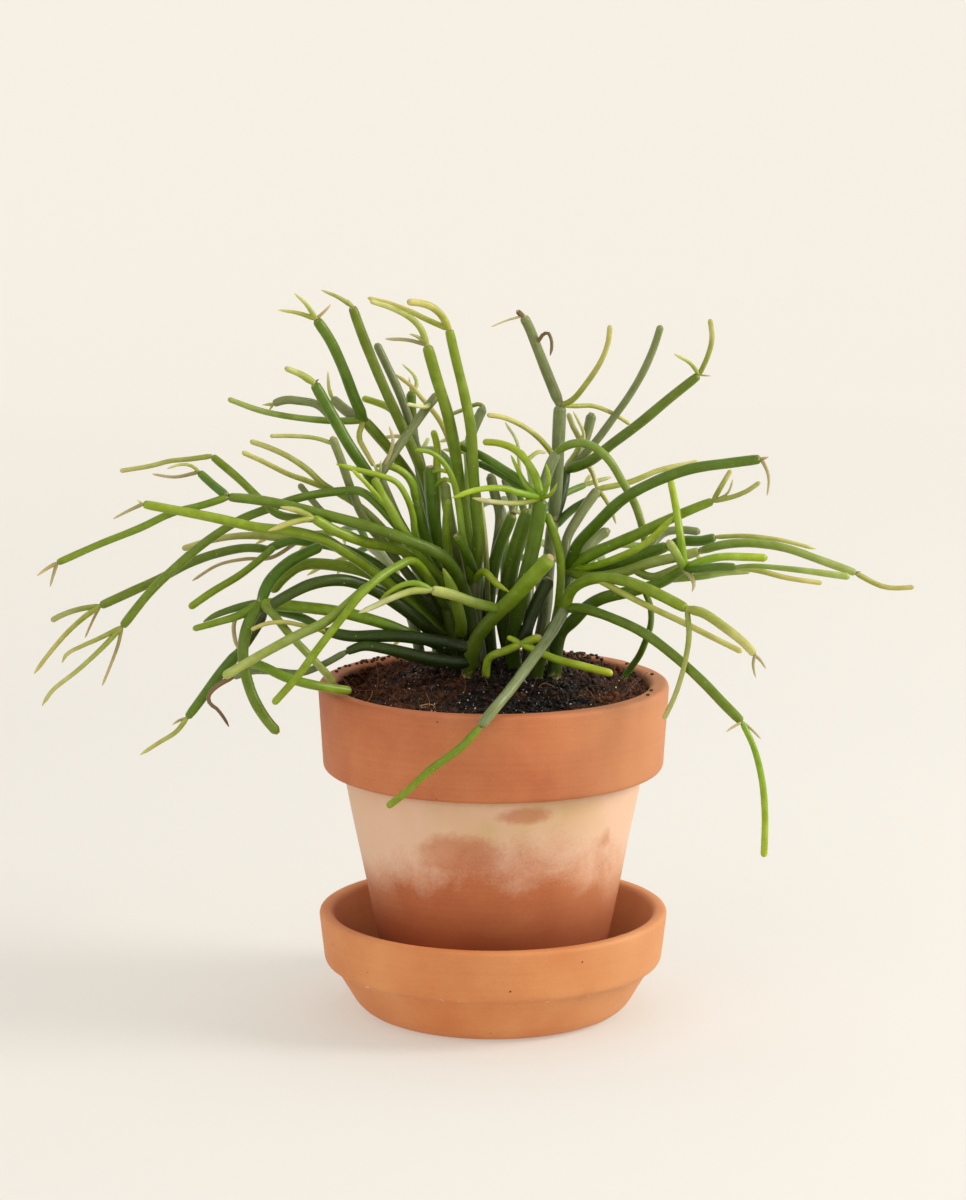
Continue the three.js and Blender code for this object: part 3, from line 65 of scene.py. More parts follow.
SAUCER_HEIGHT = 38.4
SAUCER_FLOOR = 8.5
SAUCER_FOOT_RADIUS = 49.0
SAUCER_BAND_Z = 18.2
SAUCER_NECK_RADIUS = 59.8
SAUCER_BAND_RADIUS = 62.9
SAUCER_LIP_RADIUS = 65.2
SAUCER_LIP_WIDTH = 5.0
SAUCER_INNER_FOOT_RADIUS = 48.5
BAND_STEP = 0.5  # how much a band's lower face rises from the wall to its edge

CLEARANCE = 0.3  # between saucer and pot, and between pot and soil
POT_FOOT_Z = SAUCER_FLOOR + CLEARANCE
POT_TOP_Z = 124.6
POT_FOOT_RADIUS = 39.4
POT_FLOOR_THICKNESS = 6.0
POT_FLOOR_Z = POT_FOOT_Z + POT_FLOOR_THICKNESS
POT_BAND_Z = 91.9
POT_NECK_RADIUS = 55.8
POT_BAND_RADIUS = 63.2
POT_LIP_RADIUS = 65.0
POT_MOUTH_RADIUS = 58.0
POT_INNER_FOOT_RADIUS = 35.5
DRAIN_RADIUS = 7.0
TURNED_SEGMENTS = 180
ON_AXIS = 1e-6  # a smaller radius is a point of the axis

# Small chips in the lips, as (angle in degrees from +X, height, width, depth)
POT_CHIPS = [(-112, 123.8, 2.2, 0.5), (-64, 92.6, 1.8, 0.45), (35, 124.1, 3.0, 0.6), (158, 123.6, 2.4, 0.5)]
SAUCER_CHIPS = [(-58, 19.0, 2.6, 0.5), (-86, 18.8, 1.6, 0.4), (-41, 37.6, 1.8, 0.4), (70, 37.8, 2.6, 0.5)]
POT_WOBBLE = 0.28
SAUCER_WOBBLE = 0.25
CLAY_WOBBLES = ((45, 30, 1.0), (6, 4, 0.22))  # width, height and share of each

# Spots where the lime under the pot's band has come off: centre, half sizes and how ragged the edge is
LIME_GAPS = [((11.6, -54, 85.8), (10.5, 9.0, 3.6), 3.0), ((43.0, -34, 71.5), (4.6, 4.6, 5.0), 3.0),
             ((-13.0, -50, 71.0), (17.0, 14.0, 8.0), 3.2)]

SOIL_RIM_Z = 121.4
SOIL_MOUND = 7.5
SOIL_MOUND_SPREAD = 24.0
SOIL_CROWN = (-3.0, 12.0)  # x and y of the mound's middle, where the stems stand closest
SOIL_LEFT_DIP = 5.5
SOIL_CLODS = 1.1
SOIL_RINGS = 56
SOIL_SPOKES = 150
SOIL_FOOT_Z = POT_FLOOR_Z + CLEARANCE
SOIL_FOOT_RADIUS = POT_INNER_FOOT_RADIUS - 3.0
SOIL_SIDE_RINGS = (112.0, 80.0, 45.0, SOIL_FOOT_Z + 3.0)
SOIL_SEED = 8
# Heaps of soil against the pot's wall, as (angle in degrees from +X, half width), and their height
SOIL_HEAPS = [(63, 16), (141, 12)]
SOIL_HEAP = 3.2

PEAT, FIBRE, SPECK = 0.0, 1.0, 2.0  # kinds of what lies on the soil
CRUMB_SIZE = 2.6
STRAY_CRUMBS = 64         # crumbs that lie on the lip
WALL_CRUMBS = 260         # crumbs that stick to the pot's inner wall
WALL_CRUMBS_FROM = 114.0  # the height that those start at
# What is strewn over the soil, in pieces to a square metre
STREWN = {"Clod Density": 20000.0, "Crumb Density": 185000.0, "Grit Density": 350000.0,
          "Fibre Density": 45000.0, "Speck Density": 90000.0}
# Long root fibres, as routes on the elevation sheet
ROOT_FIBRES = [
    [(340, 676, -20), (356, 690, -24), (372, 690, -27), (388, 694, -30), (405, 706, -34)],
    [(377, 690, -24), (378, 676, -22), (376, 664, -20)],
    [(622, 697, -31), (636, 683, -26), (648, 672, -22)],
    [(628, 690, -28), (634, 680, -25), (642, 676, -23)],
]

# ---- the eye, the camera and the light

# The eye that the stems' routes are laid out from, and the elevation sheet that it looks at: u runs right,
# v runs down, in sheet units, and depth is in mm behind the pot's axis.
EYE = (-3.8, -1350.0, 397.2)
EYE_PITCH = math.radians(10.17)
SHEET_REACH = 3714.0  # from the eye to the sheet
SHEET_MIDDLE_U = 483.0
SHEET_MIDDLE_V = 600.0
SHEET_MM = 0.3705  # mm to a sheet unit at the plant

FRAME_LONG_SIDE = 1200  # the frame's height, in sheet units
SENSOR_MM = 36.0

KEY_WATTS = 21.5
FILL_WATTS = 4.0
TOP_WATTS = 4.6
LIT_PLACE = Vector((0, 0, 0.12))  # what the lamps are turned to, in metres
SKY = 0.58
FLOOR_GLOW = 0.385
BACKDROP_GLOW = 0.51
GLOW_NEAR = 0.55  # metres from the plant over which the glow grows from the floor's to the backdrop's
GLOW_FAR = 1.9

# ---- sizes of the stems, in mm

ROOT_Z = 101.0         # where a rooted foot starts, down in the soil
ROOT_NECK = -1.0       # how far over the soil it stays upright
ROOTED_SAMPLES = 10    # samples of a rooted stem that the soil holds in place
STEM_SPACING = 3.0     # between the samples of a stem's path
STEM_GAP = 1.0         # between crossing stems of two shoots
FACET_ROOM = 1.18      # crossing stems keep clear as if they were this much thicker
FIRST_FREE_SAMPLE = 5  # samples near its start in which a side stem may touch its own shoot
RUN_BREAK = 3          # samples that part one crossing from the next
BEND_ROUNDS = 160
LEAST_GAP = 1e-4       # points closer than this are one to the spline

STEM_SIDES = 14
RING_STEP = 1.8
LEAST_RING_STEP = 0.03
STEM_PATTERN_RADIUS = 2.1  # of a typical stem, for patterns that go round it
AREOLE_SPACING = 9.5
AREOLE_SIZE = 0.25
AREOLE_LEAST_RADIUS = 1.0  # thinner stems have none
AREOLE_SEED = 4
GOLDEN_TURN = 2.39996  # radians from one areole to the next, round the stem

# Where a stem needs rings close to its start and, by kind, to its end, in radii from it
START_RINGS = (0.4, 0.8, 1.2, 1.7, 2.3)
END_RINGS = {
    "point": (4.2, 3.4, 2.6, 1.8, 1.2, 0.7, 0.35, 0.12), "scar": (0.9, 0.5, 0.3, 0.15, 0.05),
    "blunt": (1.15, 0.95, 0.7, 0.45, 0.25, 0.1, 0.03), "joint": (2.4, 1.8, 1.2, 0.75, 0.5, 0.3, 0.14, 0.04),
}
# Cork on a stem's end, by kind: how many radii it reaches up, and how thick it lies
END_CORK = {"joint": (0.5, 0.45), "blunt": (0.3, 0.6), "scar": (0.16, 1.0), "point": (0.9, 0.45)}

# Each tone of skin, as the colour of the joint's body and of its tip; deep is a green darkened as painted
# shade
SKINS = {
    "deep": ("#2c400b", "#384c0f"), "dark": ("#4b6a10", "#597616"), "moss": ("#44640c", "#526f10"),
    "leaf": ("#5c7419", "#6e8222"), "mid": ("#678218", "#7c9224"), "grey": ("#677142", "#747e4a"),
    "olive": ("#768a34", "#9da75a"), "fresh": ("#7d9c22", "#a2b43a"), "young": ("#98a04a", "#c0bd76"),
    "pale": ("#abb25a", "#d6d49e"), "cream": ("#7d9430", "#c0c670"), "tan": ("#a3945f", "#cbbb8c"),
    "dry": ("#7a5a3c", "#5e4026"),
}
# How strongly the pale lines of age show on a tone, and on those that aren't listed
AGES = {"dark": 0.06, "leaf": 0.06, "mid": 0.04, "grey": 0.4, "tan": 0.3, "dry": 0.4}
LEAST_AGE = 0.03
# Inside the crown a stem is in the shade of the others: the share of its colour that is left at its middle,
# and how far from there the shade starts to clear and ends. Bright new shoots stay as they are.
CROWN_SHADE = 0.38
CROWN_SHADE_START = 16.0
CROWN_SHADE_END = 64.0
UNSHADED = ("fresh", "cream")

# The stems behind the crown: x and y of the foot, heading in degrees, length, slope at the start and the end
BACK_STEMS = [
    (20, 27, 94, 56, 74, 8), (23.5, 19, 74, 50, 76, 14), (13, 29.5, 86, 56, 84, 40),
    (5, 33, 90, 92, 72, 2), (8, 41, 98, 58, 58, -12), (-3, 36.5, 102, 70, 84, 38),
    (-20.5, 39.5, 112, 74, 64, 0), (-27, 28, 124, 66, 74, 12),
]
BACK_SEED = 5
BACK_WIDTHS = {"cane": (4.3, 3.8), "side": (2.8, 2.6), "tip": (2.0, 1.4)}

# Each stem: name, foot on the soil or the stem that it grows from, how far along that stem, kind of end,
# width at its start and its end in sheet units, tone, and its route as points (u, v, depth)
ROUTES = [
  # the short scarred stem in front, with its pale forked side stem
  ['stub', [-9.5, -4.5], 0, 'scar', 13, 15.5, 'mid', [475, 642, -10], [491, 620, -14], [511, 600, -20],
    [538, 571, -29], [551, 557, -33]],
  ['stub_fork', 'stub', 0.64, 'joint', 10, 11, 'cream', [487, 606, -20], [472, 602, -22], [456, 596, -25],
    [441, 592, -27], [431, 590, -28]],
  ['stub_fork_a', 'stub_fork', 1, 'point', 7, 4, 'fresh', [415, 583, -30], [400, 586, -31], [388, 593, -32],
    [379, 601, -33]],
  ['stub_fork_b', 'stub_fork', 1, 'point', 8, 5, 'pale', [412, 591, -31], [392, 598, -35], [375, 606, -38],
    [358, 613, -41]],
  ['low_twig', [-2.8, -6], 0, 'joint', 7.5, 8.5, 'fresh', [489, 658, -9], [505, 651, -12], [521, 644, -15]],
  ['twig_tip', 'low_twig', 1, 'scar', 8, 8.5, 'fresh', [531, 640, -16], [541, 637, -17]],
  ['twig_back', 'low_twig', 1, 'blunt', 6.5, 5, 'fresh', [514, 640, -14], [507, 637, -13]],
  ['low_out', 'low_twig', 1, 'blunt', 7.5, 8, 'fresh', [533, 649, -17], [548, 656, -19], [562, 661, -21],
    [590, 668, -23], [613, 674, -24]],
  # right, low: two long arching stems and the pale one that hangs over the front of the rim
  ['right_low', [16, -3], 0, 'joint', 11, 12, 'dark', [546, 640, -8], [557, 622, -12], [565, 609, -16]],
  ['over_rim', 'right_low', 1, 'joint', 11, 10.5, 'grey', [550, 635, -28], [530, 663, -45], [510, 690, -59],
    [495, 708, -67], [480, 727, -70]],
  ['over_rim_tip', 'over_rim', 1, 'blunt', 8, 7, 'mid', [460, 748, -72], [430, 770, -73], [405, 793, -72],
    [387, 807, -71]],
  ['right_arch', 'right_low', 1, 'joint', 11, 11, 'mid', [571, 591, -19], [585, 581, -23], [605, 578, -28],
    [632, 583, -34], [660, 595, -40], [687, 609, -45]],
  ['right_arch_end', 'right_arch', 1, 'joint', 9.5, 8.5, 'young', [703, 613, -48], [724, 627, -51],
    [743, 642, -54], [755, 655, -56]],
  ['right_arch_bud_a', 'right_arch_end', 1, 'point', 3.5, 2, 'tan', [753, 665, -57], [756, 678, -58]],
  ['right_arch_bud_b', 'right_arch_end', 1, 'point', 3.5, 2, 'tan', [761, 661, -55], [766, 669, -54]],
  ['rim_side', 'right_arch', 1, 'blunt', 5.5, 5, 'young', [689, 635, -50], [685, 662, -52], [676, 693, -52],
    [664, 719, -49]],
  ['right_second', 'right_arch', 0.34, 'blunt', 6.5, 6, 'young', [632, 598, -36], [650, 607, -36],
    [680, 621, -38], [710, 636, -40], [742, 652, -42]],
  ['right_long', 'right_low', 1, 'joint', 10, 9.5, 'leaf', [577, 608, -18], [592, 611, -24],
    [612, 618, -31], [642, 632, -39], [672, 654, -46], [702, 681, -52], [724, 704, -56], [742, 722, -59]],
  ['right_long_tip', 'right_long', 1, 'blunt', 6, 7, 'fresh', [754, 748, -61], [762, 780, -62],
    [765, 815, -62], [764, 857, -60]],
  ['right_long_bud_a', 'right_long', 1, 'point', 3, 2, 'tan', [733, 727, -62], [726, 732, -63]],
  ['right_long_bud_b', 'right_long', 1, 'point', 3, 2, 'tan', [750, 728, -57], [761, 739, -56]],
  ['rim_inside', [48.5, 15], 0, 'blunt', 7.5, 6, 'dark', [639, 656, 12], [646, 640, 6], [651, 622, -2],
    [650, 605, -8], [645, 592, -12]],
  # right, under: the dark stem with a fan of short stems
  ['right_under', [22.5, 1], 0, 'joint', 16, 10, 'dark', [560, 634, 0], [574, 620, -3], [588, 606, -6],
    [603, 598, -9], [628, 592, -14], [660, 583, -20], [684, 569, -27]],
  ['under_a', 'right_under', 1, 'scar', 8.5, 8, 'fresh', [700, 562, -28], [720, 557, -26], [745, 557, -23],
    [767, 558, -21]],
  ['under_b', 'right_under', 1, 'joint', 8, 8.5, 'dark', [700, 569, -33], [716, 567, -35], [736, 567, -36]],
  ['under_b_tip', 'under_b', 1, 'blunt', 5.5, 5, 'young', [760, 571, -34], [788, 578, -31], [822, 583, -27]],
  ['under_b_long', 'under_b', 1, 'blunt', 4.5, 7, 'olive', [755, 566, -40], [790, 569, -42],
    [822, 573, -43], [850, 577, -43]],
  ['under_c', 'right_under', 0.92, 'blunt', 7.5, 6, 'olive', [704, 576, -22], [722, 573, -20],
    [750, 571, -17]],
  ['under_drop', 'right_under', 1, 'point', 6.5, 3, 'tan', [691, 577, -31], [694, 584, -33],
    [692, 592, -34]],
  ['under_pale', 'right_under', 1, 'scar', 8, 8.5, 'olive', [676, 553, -32], [668, 541, -34]],
  ['under_up', 'right_under', 1, 'blunt', 9, 6.5, 'fresh', [681, 542, -27], [676, 508, -20],
    [670, 478, -12]],
  # right, middle: six stems from one crown joint
  ['right_fan', [23.5, 10.5], 0, 'joint', 12, 13, 'dark', [557, 625, 10], [563, 595, 8], [567, 570, 6]],
  ['fan_high', 'right_fan', 1, 'joint', 12, 10, 'dark', [577, 546, 0], [596, 525, -8], [622, 500, -17],
    [652, 483, -25], [690, 469, -32], [730, 463, -37], [761, 459, -41]],
  ['fan_high_drop', 'fan_high', 1, 'point', 4, 2, 'tan', [767, 470, -43], [769, 482, -44], [767, 496, -45]],
  ['fan_high_nub', 'fan_high', 1, 'point', 5, 3, 'tan', [769, 457, -42]],
  ['fan_striped', 'right_fan', 1, 'joint', 9.5, 10.5, 'grey', [566, 542, 11], [580, 515, 16],
    [598, 489, 21]],
  ['striped_tip', 'fan_striped', 1, 'blunt', 6, 5.5, 'young', [630, 482, 25], [660, 470, 29],
    [698, 462, 33]],
  ['striped_drop', 'fan_striped', 1, 'point', 4.5, 3.5, 'pale', [607, 502, 23], [613, 514, 24],
    [616, 524, 25]],
  ['fan_grey', 'right_fan', 1, 'joint', 13.5, 9, 'mid', [590, 555, 1], [615, 544, -4], [640, 533, -9],
    [672, 518, -13], [695, 508, -16], [713, 501, -18]],
  ['fan_grey_a', 'fan_grey', 1, 'blunt', 5.5, 5, 'young', [722, 485, -17], [731, 470, -15]],
  ['fan_grey_b', 'fan_grey', 1, 'point', 3, 2, 'tan', [728, 493, -20], [733, 479, -19]],
  ['fan_grey_c', 'fan_grey', 1, 'blunt', 5.5, 4.5, 'young', [732, 497, -21], [747, 491, -23],
    [760, 482, -25]],
  ['fan_bright', 'right_fan', 1, 'point', 7.5, 7, 'fresh', [590, 567, -2], [612, 560, -8], [640, 547, -15],
    [660, 531, -19], [674, 516, -22]],
  ['fan_third', 'right_fan', 1, 'joint', 13, 12, 'dark', [587, 574, 3], [615, 565, -1], [642, 555, -4],
    [668, 546, -7]],
  ['fan_third_b', 'fan_third', 1, 'joint', 11, 10, 'dark', [684, 541, -8], [700, 541, -9], [716, 537, -10]],
  ['fan_third_tip', 'fan_third_b', 1, 'point', 5, 4, 'young', [745, 536, -10], [780, 540, -8],
    [816, 549, -5]],
  ['fan_third_up', 'fan_third', 0.8, 'scar', 8.5, 8, 'grey', [664, 533, 2], [683, 530, 4], [700, 532, 5]],
  ['fan_fourth', 'right_fan', 1, 'joint', 11, 10, 'olive', [590, 577, -3], [620, 573, -7], [650, 563, -11],
    [682, 556, -14], [700, 551, -15]],
  ['fan_fifth', 'fan_fourth', 0.55, 'scar', 8, 8.5, 'olive', [652, 577, -12], [668, 572, -14],
    [690, 563, -17]],
  ['fan_fourth_b', 'fan_fourth', 1, 'joint', 9, 8, 'olive', [722, 545, -16], [750, 543, -16],
    [785, 548, -15], [820, 560, -13], [856, 573, -11]],
  ['fan_fourth_tip', 'fan_fourth_b', 1, 'blunt', 5.5, 5, 'young', [870, 581, -9], [885, 587, -8],
    [900, 588, -7], [914, 587, -6]],
  ['fan_fourth_nub', 'fan_fourth_b', 1, 'point', 3.5, 2, 'tan', [861, 571, -12]],
  ['fan_tan', 'right_fan', 0.9, 'scar', 12, 11, 'grey', [585, 551, 14], [598, 537, 18], [609, 530, 20]],
  # right of the middle: the tall grey stem and the stems behind it
  ['tall_right', [15.5, 17], 0, 'joint', 13, 13, 'grey', [545, 612, 18], [548, 570, 19], [553, 520, 20]],
  ['tall_mast', 'tall_right', 1, 'joint', 12.5, 14, 'grey', [556, 490, 20], [558, 450, 20], [560, 405, 20]],
  ['tall_top', 'tall_mast', 1, 'scar', 11, 10, 'grey', [549, 378, 19], [538, 350, 17], [529, 327, 15],
    [523, 316, 13]],
  ['tall_hook', 'tall_top', 1, 'scar', 7, 5, 'dry', [517, 311, 11]],
  ['tall_thread', 'tall_top', 1, 'point', 2.5, 1.5, 'tan', [508, 320, 9], [491, 327, 6]],
  ['tall_side_bud', 'tall_top', 0.7, 'point', 4, 3, 'dry', [547, 332, 12], [552, 343, 11], [550, 356, 10]],
  ['mast_up', 'tall_mast', 0.97, 'blunt', 6, 5.5, 'young', [571, 401, 18], [586, 384, 15], [601, 361, 13],
    [608, 343, 12], [610, 325, 12]],
  ['mast_right', 'tall_mast', 0.97, 'blunt', 5, 4.5, 'young', [575, 406, 26], [593, 406, 30],
    [612, 413, 33], [630, 424, 35]],
  ['mast_left', 'tall_mast', 0.5, 'blunt', 6, 5, 'young', [547, 447, 14], [533, 433, 8], [517, 423, 4],
    [502, 417, 2], [487, 415, 0]],
  ['rear_fork', 'tall_right', 1, 'joint', 12, 12, 'deep', [560, 500, 24], [566, 470, 29]],
  ['rear_thin', 'rear_fork', 1, 'blunt', 8, 7.5, 'grey', [580, 459, 30], [597, 440, 31], [614, 417, 32],
    [629, 396, 32], [643, 372, 31], [654, 347, 30], [661, 325, 29]],
  ['rear_right', 'rear_fork', 1, 'joint', 11, 9.5, 'leaf', [590, 461, 25], [612, 444, 23], [640, 423, 21],
    [670, 398, 19], [699, 375, 17]],
  ['rear_right_up', 'rear_right', 1, 'blunt', 5, 5.5, 'young', [707, 358, 16], [712, 339, 15],
    [710, 319, 14]],
  ['rear_right_left', 'rear_right', 1, 'point', 4.5, 3, 'young', [690, 363, 14], [674, 354, 12]],
  ['rear_right_thread', 'rear_right', 1, 'point', 2, 1.5, 'tan', [711, 376, 17]],
  ['rear_grey', 'rear_fork', 1, 'scar', 9, 11, 'grey', [583, 445, 40], [588, 430, 43], [592, 413, 45]],
  ['rear_light', 'rear_fork', 1, 'blunt', 6.5, 5.5, 'young', [580, 442, 34], [574, 429, 35], [568, 413, 36]],
  ['rear_pale', 'rear_fork', 1, 'point', 4, 3, 'pale', [584, 438, 37], [580, 424, 39], [573, 411, 40]],
  ['rear_drop', 'rear_fork', 1, 'blunt', 5.5, 5, 'pale', [588, 466, 36], [598, 489, 36]],
  ['rear_low', 'tall_right', 0.97, 'joint', 10, 7, 'dark', [573, 509, 25], [590, 499, 27], [600, 493, 28]],
  # the middle: thick stems up to a crown joint with bright tips
  ['middle', [7, 5], 0, 'joint', 14, 15, 'moss', [514, 630, 1], [521, 595, -3], [531, 556, -8],
    [537, 525, -10], [541, 498, -11]],
  ['middle_arch', 'middle', 1, 'blunt', 9, 6.5, 'fresh', [536, 478, -8], [527, 462, -4], [514, 449, 0],
    [498, 443, 4], [483, 442, 7]],
  ['middle_left', 'middle', 1, 'point', 7.5, 5, 'fresh', [520, 493, -17], [500, 488, -21], [476, 490, -25],
    [452, 498, -29]],
  ['middle_pale', 'middle', 1, 'point', 6, 4, 'pale', [520, 503, -16], [495, 502, -20], [472, 498, -23]],
  ['middle_tip_a', 'middle', 1, 'point', 5, 3, 'fresh', [549, 481, -15], [546, 464, -17]],
  ['middle_tip_b', 'middle', 1, 'point', 5, 3, 'fresh', [551, 494, -17], [557, 483, -19]],
  ['middle_tip_c', 'middle', 1, 'point', 7, 3, 'fresh', [528, 487, -7], [520, 474, -2], [511, 455, 3]],
  ['middle_tip_d', 'middle', 1, 'point', 4.5, 3, 'pale', [522, 483, 3], [519, 462, 9], [517, 442, 12],
    [505, 422, 15]],
  ['middle_short', 'middle', 1, 'joint', 10.5, 11, 'grey', [546, 478, -5], [551, 464, -3], [557, 452, -1]],
  ['middle_over', 'middle_short', 1, 'blunt', 8.5, 8, 'olive', [566, 446, -4], [580, 443, -7],
    [594, 447, -9], [609, 460, -10], [622, 481, -9], [634, 502, -5], [641, 522, 1], [646, 545, 7]],
  ['middle_back', 'middle', 0.96, 'blunt', 9, 8, 'dark', [523, 483, 0], [503, 469, 8], [480, 455, 14],
    [460, 446, 18]],
  ['middle_back_b', 'middle', 0.96, 'blunt', 8, 7, 'dark', [512, 482, 4], [497, 472, 11], [478, 463, 18]],
  ['middle_second', [7.5, 15], 0, 'joint', 20, 15, 'dark', [504, 615, 11], [508, 585, 9], [514, 556, 6],
    [522, 530, 3], [529, 509, 1]],
  ['middle_third', [-1, 21.5], 0, 'joint', 16, 12, 'dark', [488, 610, 18], [492, 575, 15], [500, 545, 13],
    [513, 514, 11]],
  ['middle_stump_a', 'middle_third', 0.75, 'scar', 11, 10, 'grey', [500, 515, 18], [495, 495, 21],
    [490, 474, 24]],
  ['middle_stump_b', 'middle_third', 1, 'scar', 9.5, 9, 'grey', [513, 500, 16], [508, 488, 20],
    [505, 477, 23]],
  ['middle_old', 'middle', 0.36, 'scar', 12, 14, 'deep', [524, 636, -1], [532, 614, 0], [541, 594, 1],
    [550, 578, 2]],
  ['middle_thin', 'middle_third', 0.45, 'blunt', 6, 5, 'young', [486, 552, 11], [483, 520, 13],
    [480, 498, 14]],
  ['right_bow', [15, 7], 0, 'blunt', 8.5, 8.5, 'mid', [554, 630, 4], [559, 600, 1], [561, 570, -2],
    [559, 550, -4], [553, 530, -5], [546, 513, -4]],
  # left of the middle: the tall pair
  ['tall_left', [-5, 12.5], 0, 'joint', 17, 16, 'grey', [475, 630, 8], [472, 600, 5], [475, 573, 3]],
  ['pair_right', 'tall_left', 1, 'joint', 12, 9.5, 'mid', [479, 545, 2], [477, 515, 3], [474, 480, 4],
    [471, 430, 5], [464, 393, 5], [456, 360, 5], [449, 329, 4]],
  ['pair_right_a', 'pair_right', 1, 'blunt', 8, 7, 'young', [442, 316, 2], [432, 307, 0], [420, 303, -2],
    [407, 302, -4]],
  ['pair_right_b', 'pair_right', 1, 'scar', 6.5, 4, 'young', [428, 320, 7], [405, 309, 10], [385, 302, 12],
    [368, 298, 14]],
  ['pair_left', 'tall_left', 1, 'joint', 12, 11.5, 'mid', [470, 553, 9], [465, 520, 11], [459, 480, 11],
    [454, 445, 9], [447, 412, 6], [437, 380, 4], [427, 345, 2]],
  ['pair_left_a', 'pair_left', 1, 'blunt', 7, 5, 'young', [421, 329, 0], [412, 319, -1], [394, 309, -3],
    [370, 301, -5]],
  ['pair_left_b', 'pair_left', 1, 'point', 4.5, 3, 'tan', [408, 340, 4], [385, 339, 6]],
  ['pair_left_c', 'pair_left', 1, 'point', 5, 2, 'young', [418, 337, 0], [409, 334, -1]],
  ['pair_long', 'pair_left', 0.3, 'point', 7, 4, 'young', [458, 490, 17], [455, 465, 18], [448, 438, 19],
    [438, 418, 20], [425, 402, 21], [411, 386, 21], [395, 374, 22]],
  ['pair_low_a', 'tall_left', 1, 'blunt', 9.5, 9, 'dark', [468, 556, -4], [461, 543, -7], [455, 535, -9]],
  ['pair_low_b', 'tall_left', 0.97, 'point', 9, 6, 'fresh', [485, 572, -6], [497, 584, -9], [509, 592, -11]],
  ['pair_arch', 'tall_left', 0.9, 'blunt', 9.5, 4.5, 'mid', [463, 540, -5], [459, 508, -4], [453, 480, -5],
    [443, 462, -6], [430, 452, -8], [415, 450, -10]],
  ['pair_rear', 'pair_right', 0.35, 'scar', 10, 10, 'grey', [470, 440, 20], [477, 421, 23], [484, 407, 25]],
  ['pair_rear_tip', 'pair_rear', 1, 'blunt', 4.5, 4, 'young', [478, 404, 27], [465, 409, 28],
    [452, 414, 29]],
  # left of the middle: shorter stems with bright tips
  ['inner_left', [-9.5, 20], 0, 'joint', 12, 11, 'moss', [455, 612, 16], [442, 578, 11], [428, 545, 8],
    [420, 518, 6], [416, 502, 5]],
  ['inner_left_a', 'inner_left', 1, 'point', 9.5, 6, 'fresh', [413, 485, 3], [404, 473, 1], [389, 466, -1],
    [373, 466, -3]],
  ['inner_left_b', 'inner_left', 0.62, 'point', 8, 5, 'fresh', [416, 537, 1], [413, 516, -2],
    [407, 498, -5], [396, 482, -8], [378, 475, -10], [354, 469, -12], [336, 464, -14]],
  ['inner_left_c', 'inner_left', 0.5, 'blunt', 7.5, 8, 'mid', [447, 548, 6], [446, 525, 4], [448, 499, 3]],
  ['inner_mid', [-4, 28.5], 0, 'scar', 12, 11, 'olive', [466, 600, 24], [456, 550, 19], [448, 510, 16],
    [444, 482, 15]],
  ['inner_dark', [-11, 28], 0, 'scar', 13, 14, 'dark', [452, 600, 22], [441, 560, 17], [434, 520, 14],
    [430, 466, 13]],
  ['inner_dark_a', 'inner_dark', 0.97, 'blunt', 5, 4, 'fresh', [439, 470, 8], [448, 472, 5]],
  ['inner_dark_b', 'inner_dark', 0.9, 'blunt', 5, 4, 'fresh', [445, 479, 8], [455, 484, 5]],
  ['inner_dark_c', 'inner_dark', 0.75, 'blunt', 9, 7, 'fresh', [437, 462, 22], [437, 445, 24],
    [433, 430, 25]],
  # upper left: long stems that lean out to the left
  ['upper_tall', [-19.5, 30.5], 0, 'joint', 12, 10, 'leaf', [436, 600, 28], [439, 560, 25], [434, 515, 22],
    [424, 478, 19], [412, 448, 17], [399, 420, 15], [386, 392, 13], [374, 364, 12], [362, 334, 11],
    [352, 306, 10]],
  ['upper_tall_a', 'upper_tall', 1, 'point', 5.5, 2.5, 'young', [338, 297, 8], [321, 290, 6]],
  ['upper_tall_b', 'upper_tall', 1, 'point', 4, 3, 'pale', [348, 299, 10]],
  ['upper_second', 'upper_tall', 0.55, 'blunt', 9, 8.5, 'grey', [409, 420, 20], [399, 392, 21],
    [387, 366, 22], [376, 343, 23]],
  ['upper_stump', 'upper_tall', 0.4, 'scar', 10, 10, 'dark', [416, 450, 26], [412, 420, 28], [411, 391, 29]],
  ['upper_stump_a', 'upper_stump', 1, 'point', 5, 2.5, 'pale', [417, 385, 31], [413, 374, 33],
    [402, 364, 35]],
  ['upper_stump_b', 'upper_stump', 1, 'point', 3, 2, 'pale', [409, 377, 30]],
  ['upper_bright', 'upper_tall', 0.62, 'blunt', 8, 7, 'fresh', [393, 411, 22], [378, 403, 25],
    [362, 398, 27]],
  ['fork', [-11.5, 36.5], 0, 'joint', 12, 11, 'leaf', [457, 600, 36], [444, 555, 34], [428, 508, 29],
    [406, 471, 22], [385, 444, 16], [364, 420, 12]],
  ['fork_up', 'fork', 1, 'joint', 11.5, 10.5, 'dark', [354, 397, 9], [343, 368, 7], [330, 340, 5],
    [316, 319, 3]],
  ['fork_up_a', 'fork_up', 1, 'point', 5.5, 2.5, 'young', [306, 304, 2], [294, 293, 1]],
  ['fork_up_b', 'fork_up', 1, 'point', 5.5, 2.5, 'young', [298, 313, 2], [278, 310, 0]],
  ['fork_up_c', 'fork_up', 1, 'point', 3.5, 2, 'tan', [326, 310, 5], [331, 304, 6]],
  ['fork_out', 'fork', 1, 'blunt', 7.5, 5.5, 'olive', [340, 421, 12], [300, 418, 9], [262, 411, 4],
    [228, 399, -1]],
  ['fork_back', 'fork', 1, 'joint', 12, 10, 'grey', [348, 412, 17], [332, 398, 21]],
  ['fork_back_tip', 'fork_back', 1, 'point', 4.5, 2.5, 'pale', [329, 388, 22], [328, 371, 23]],
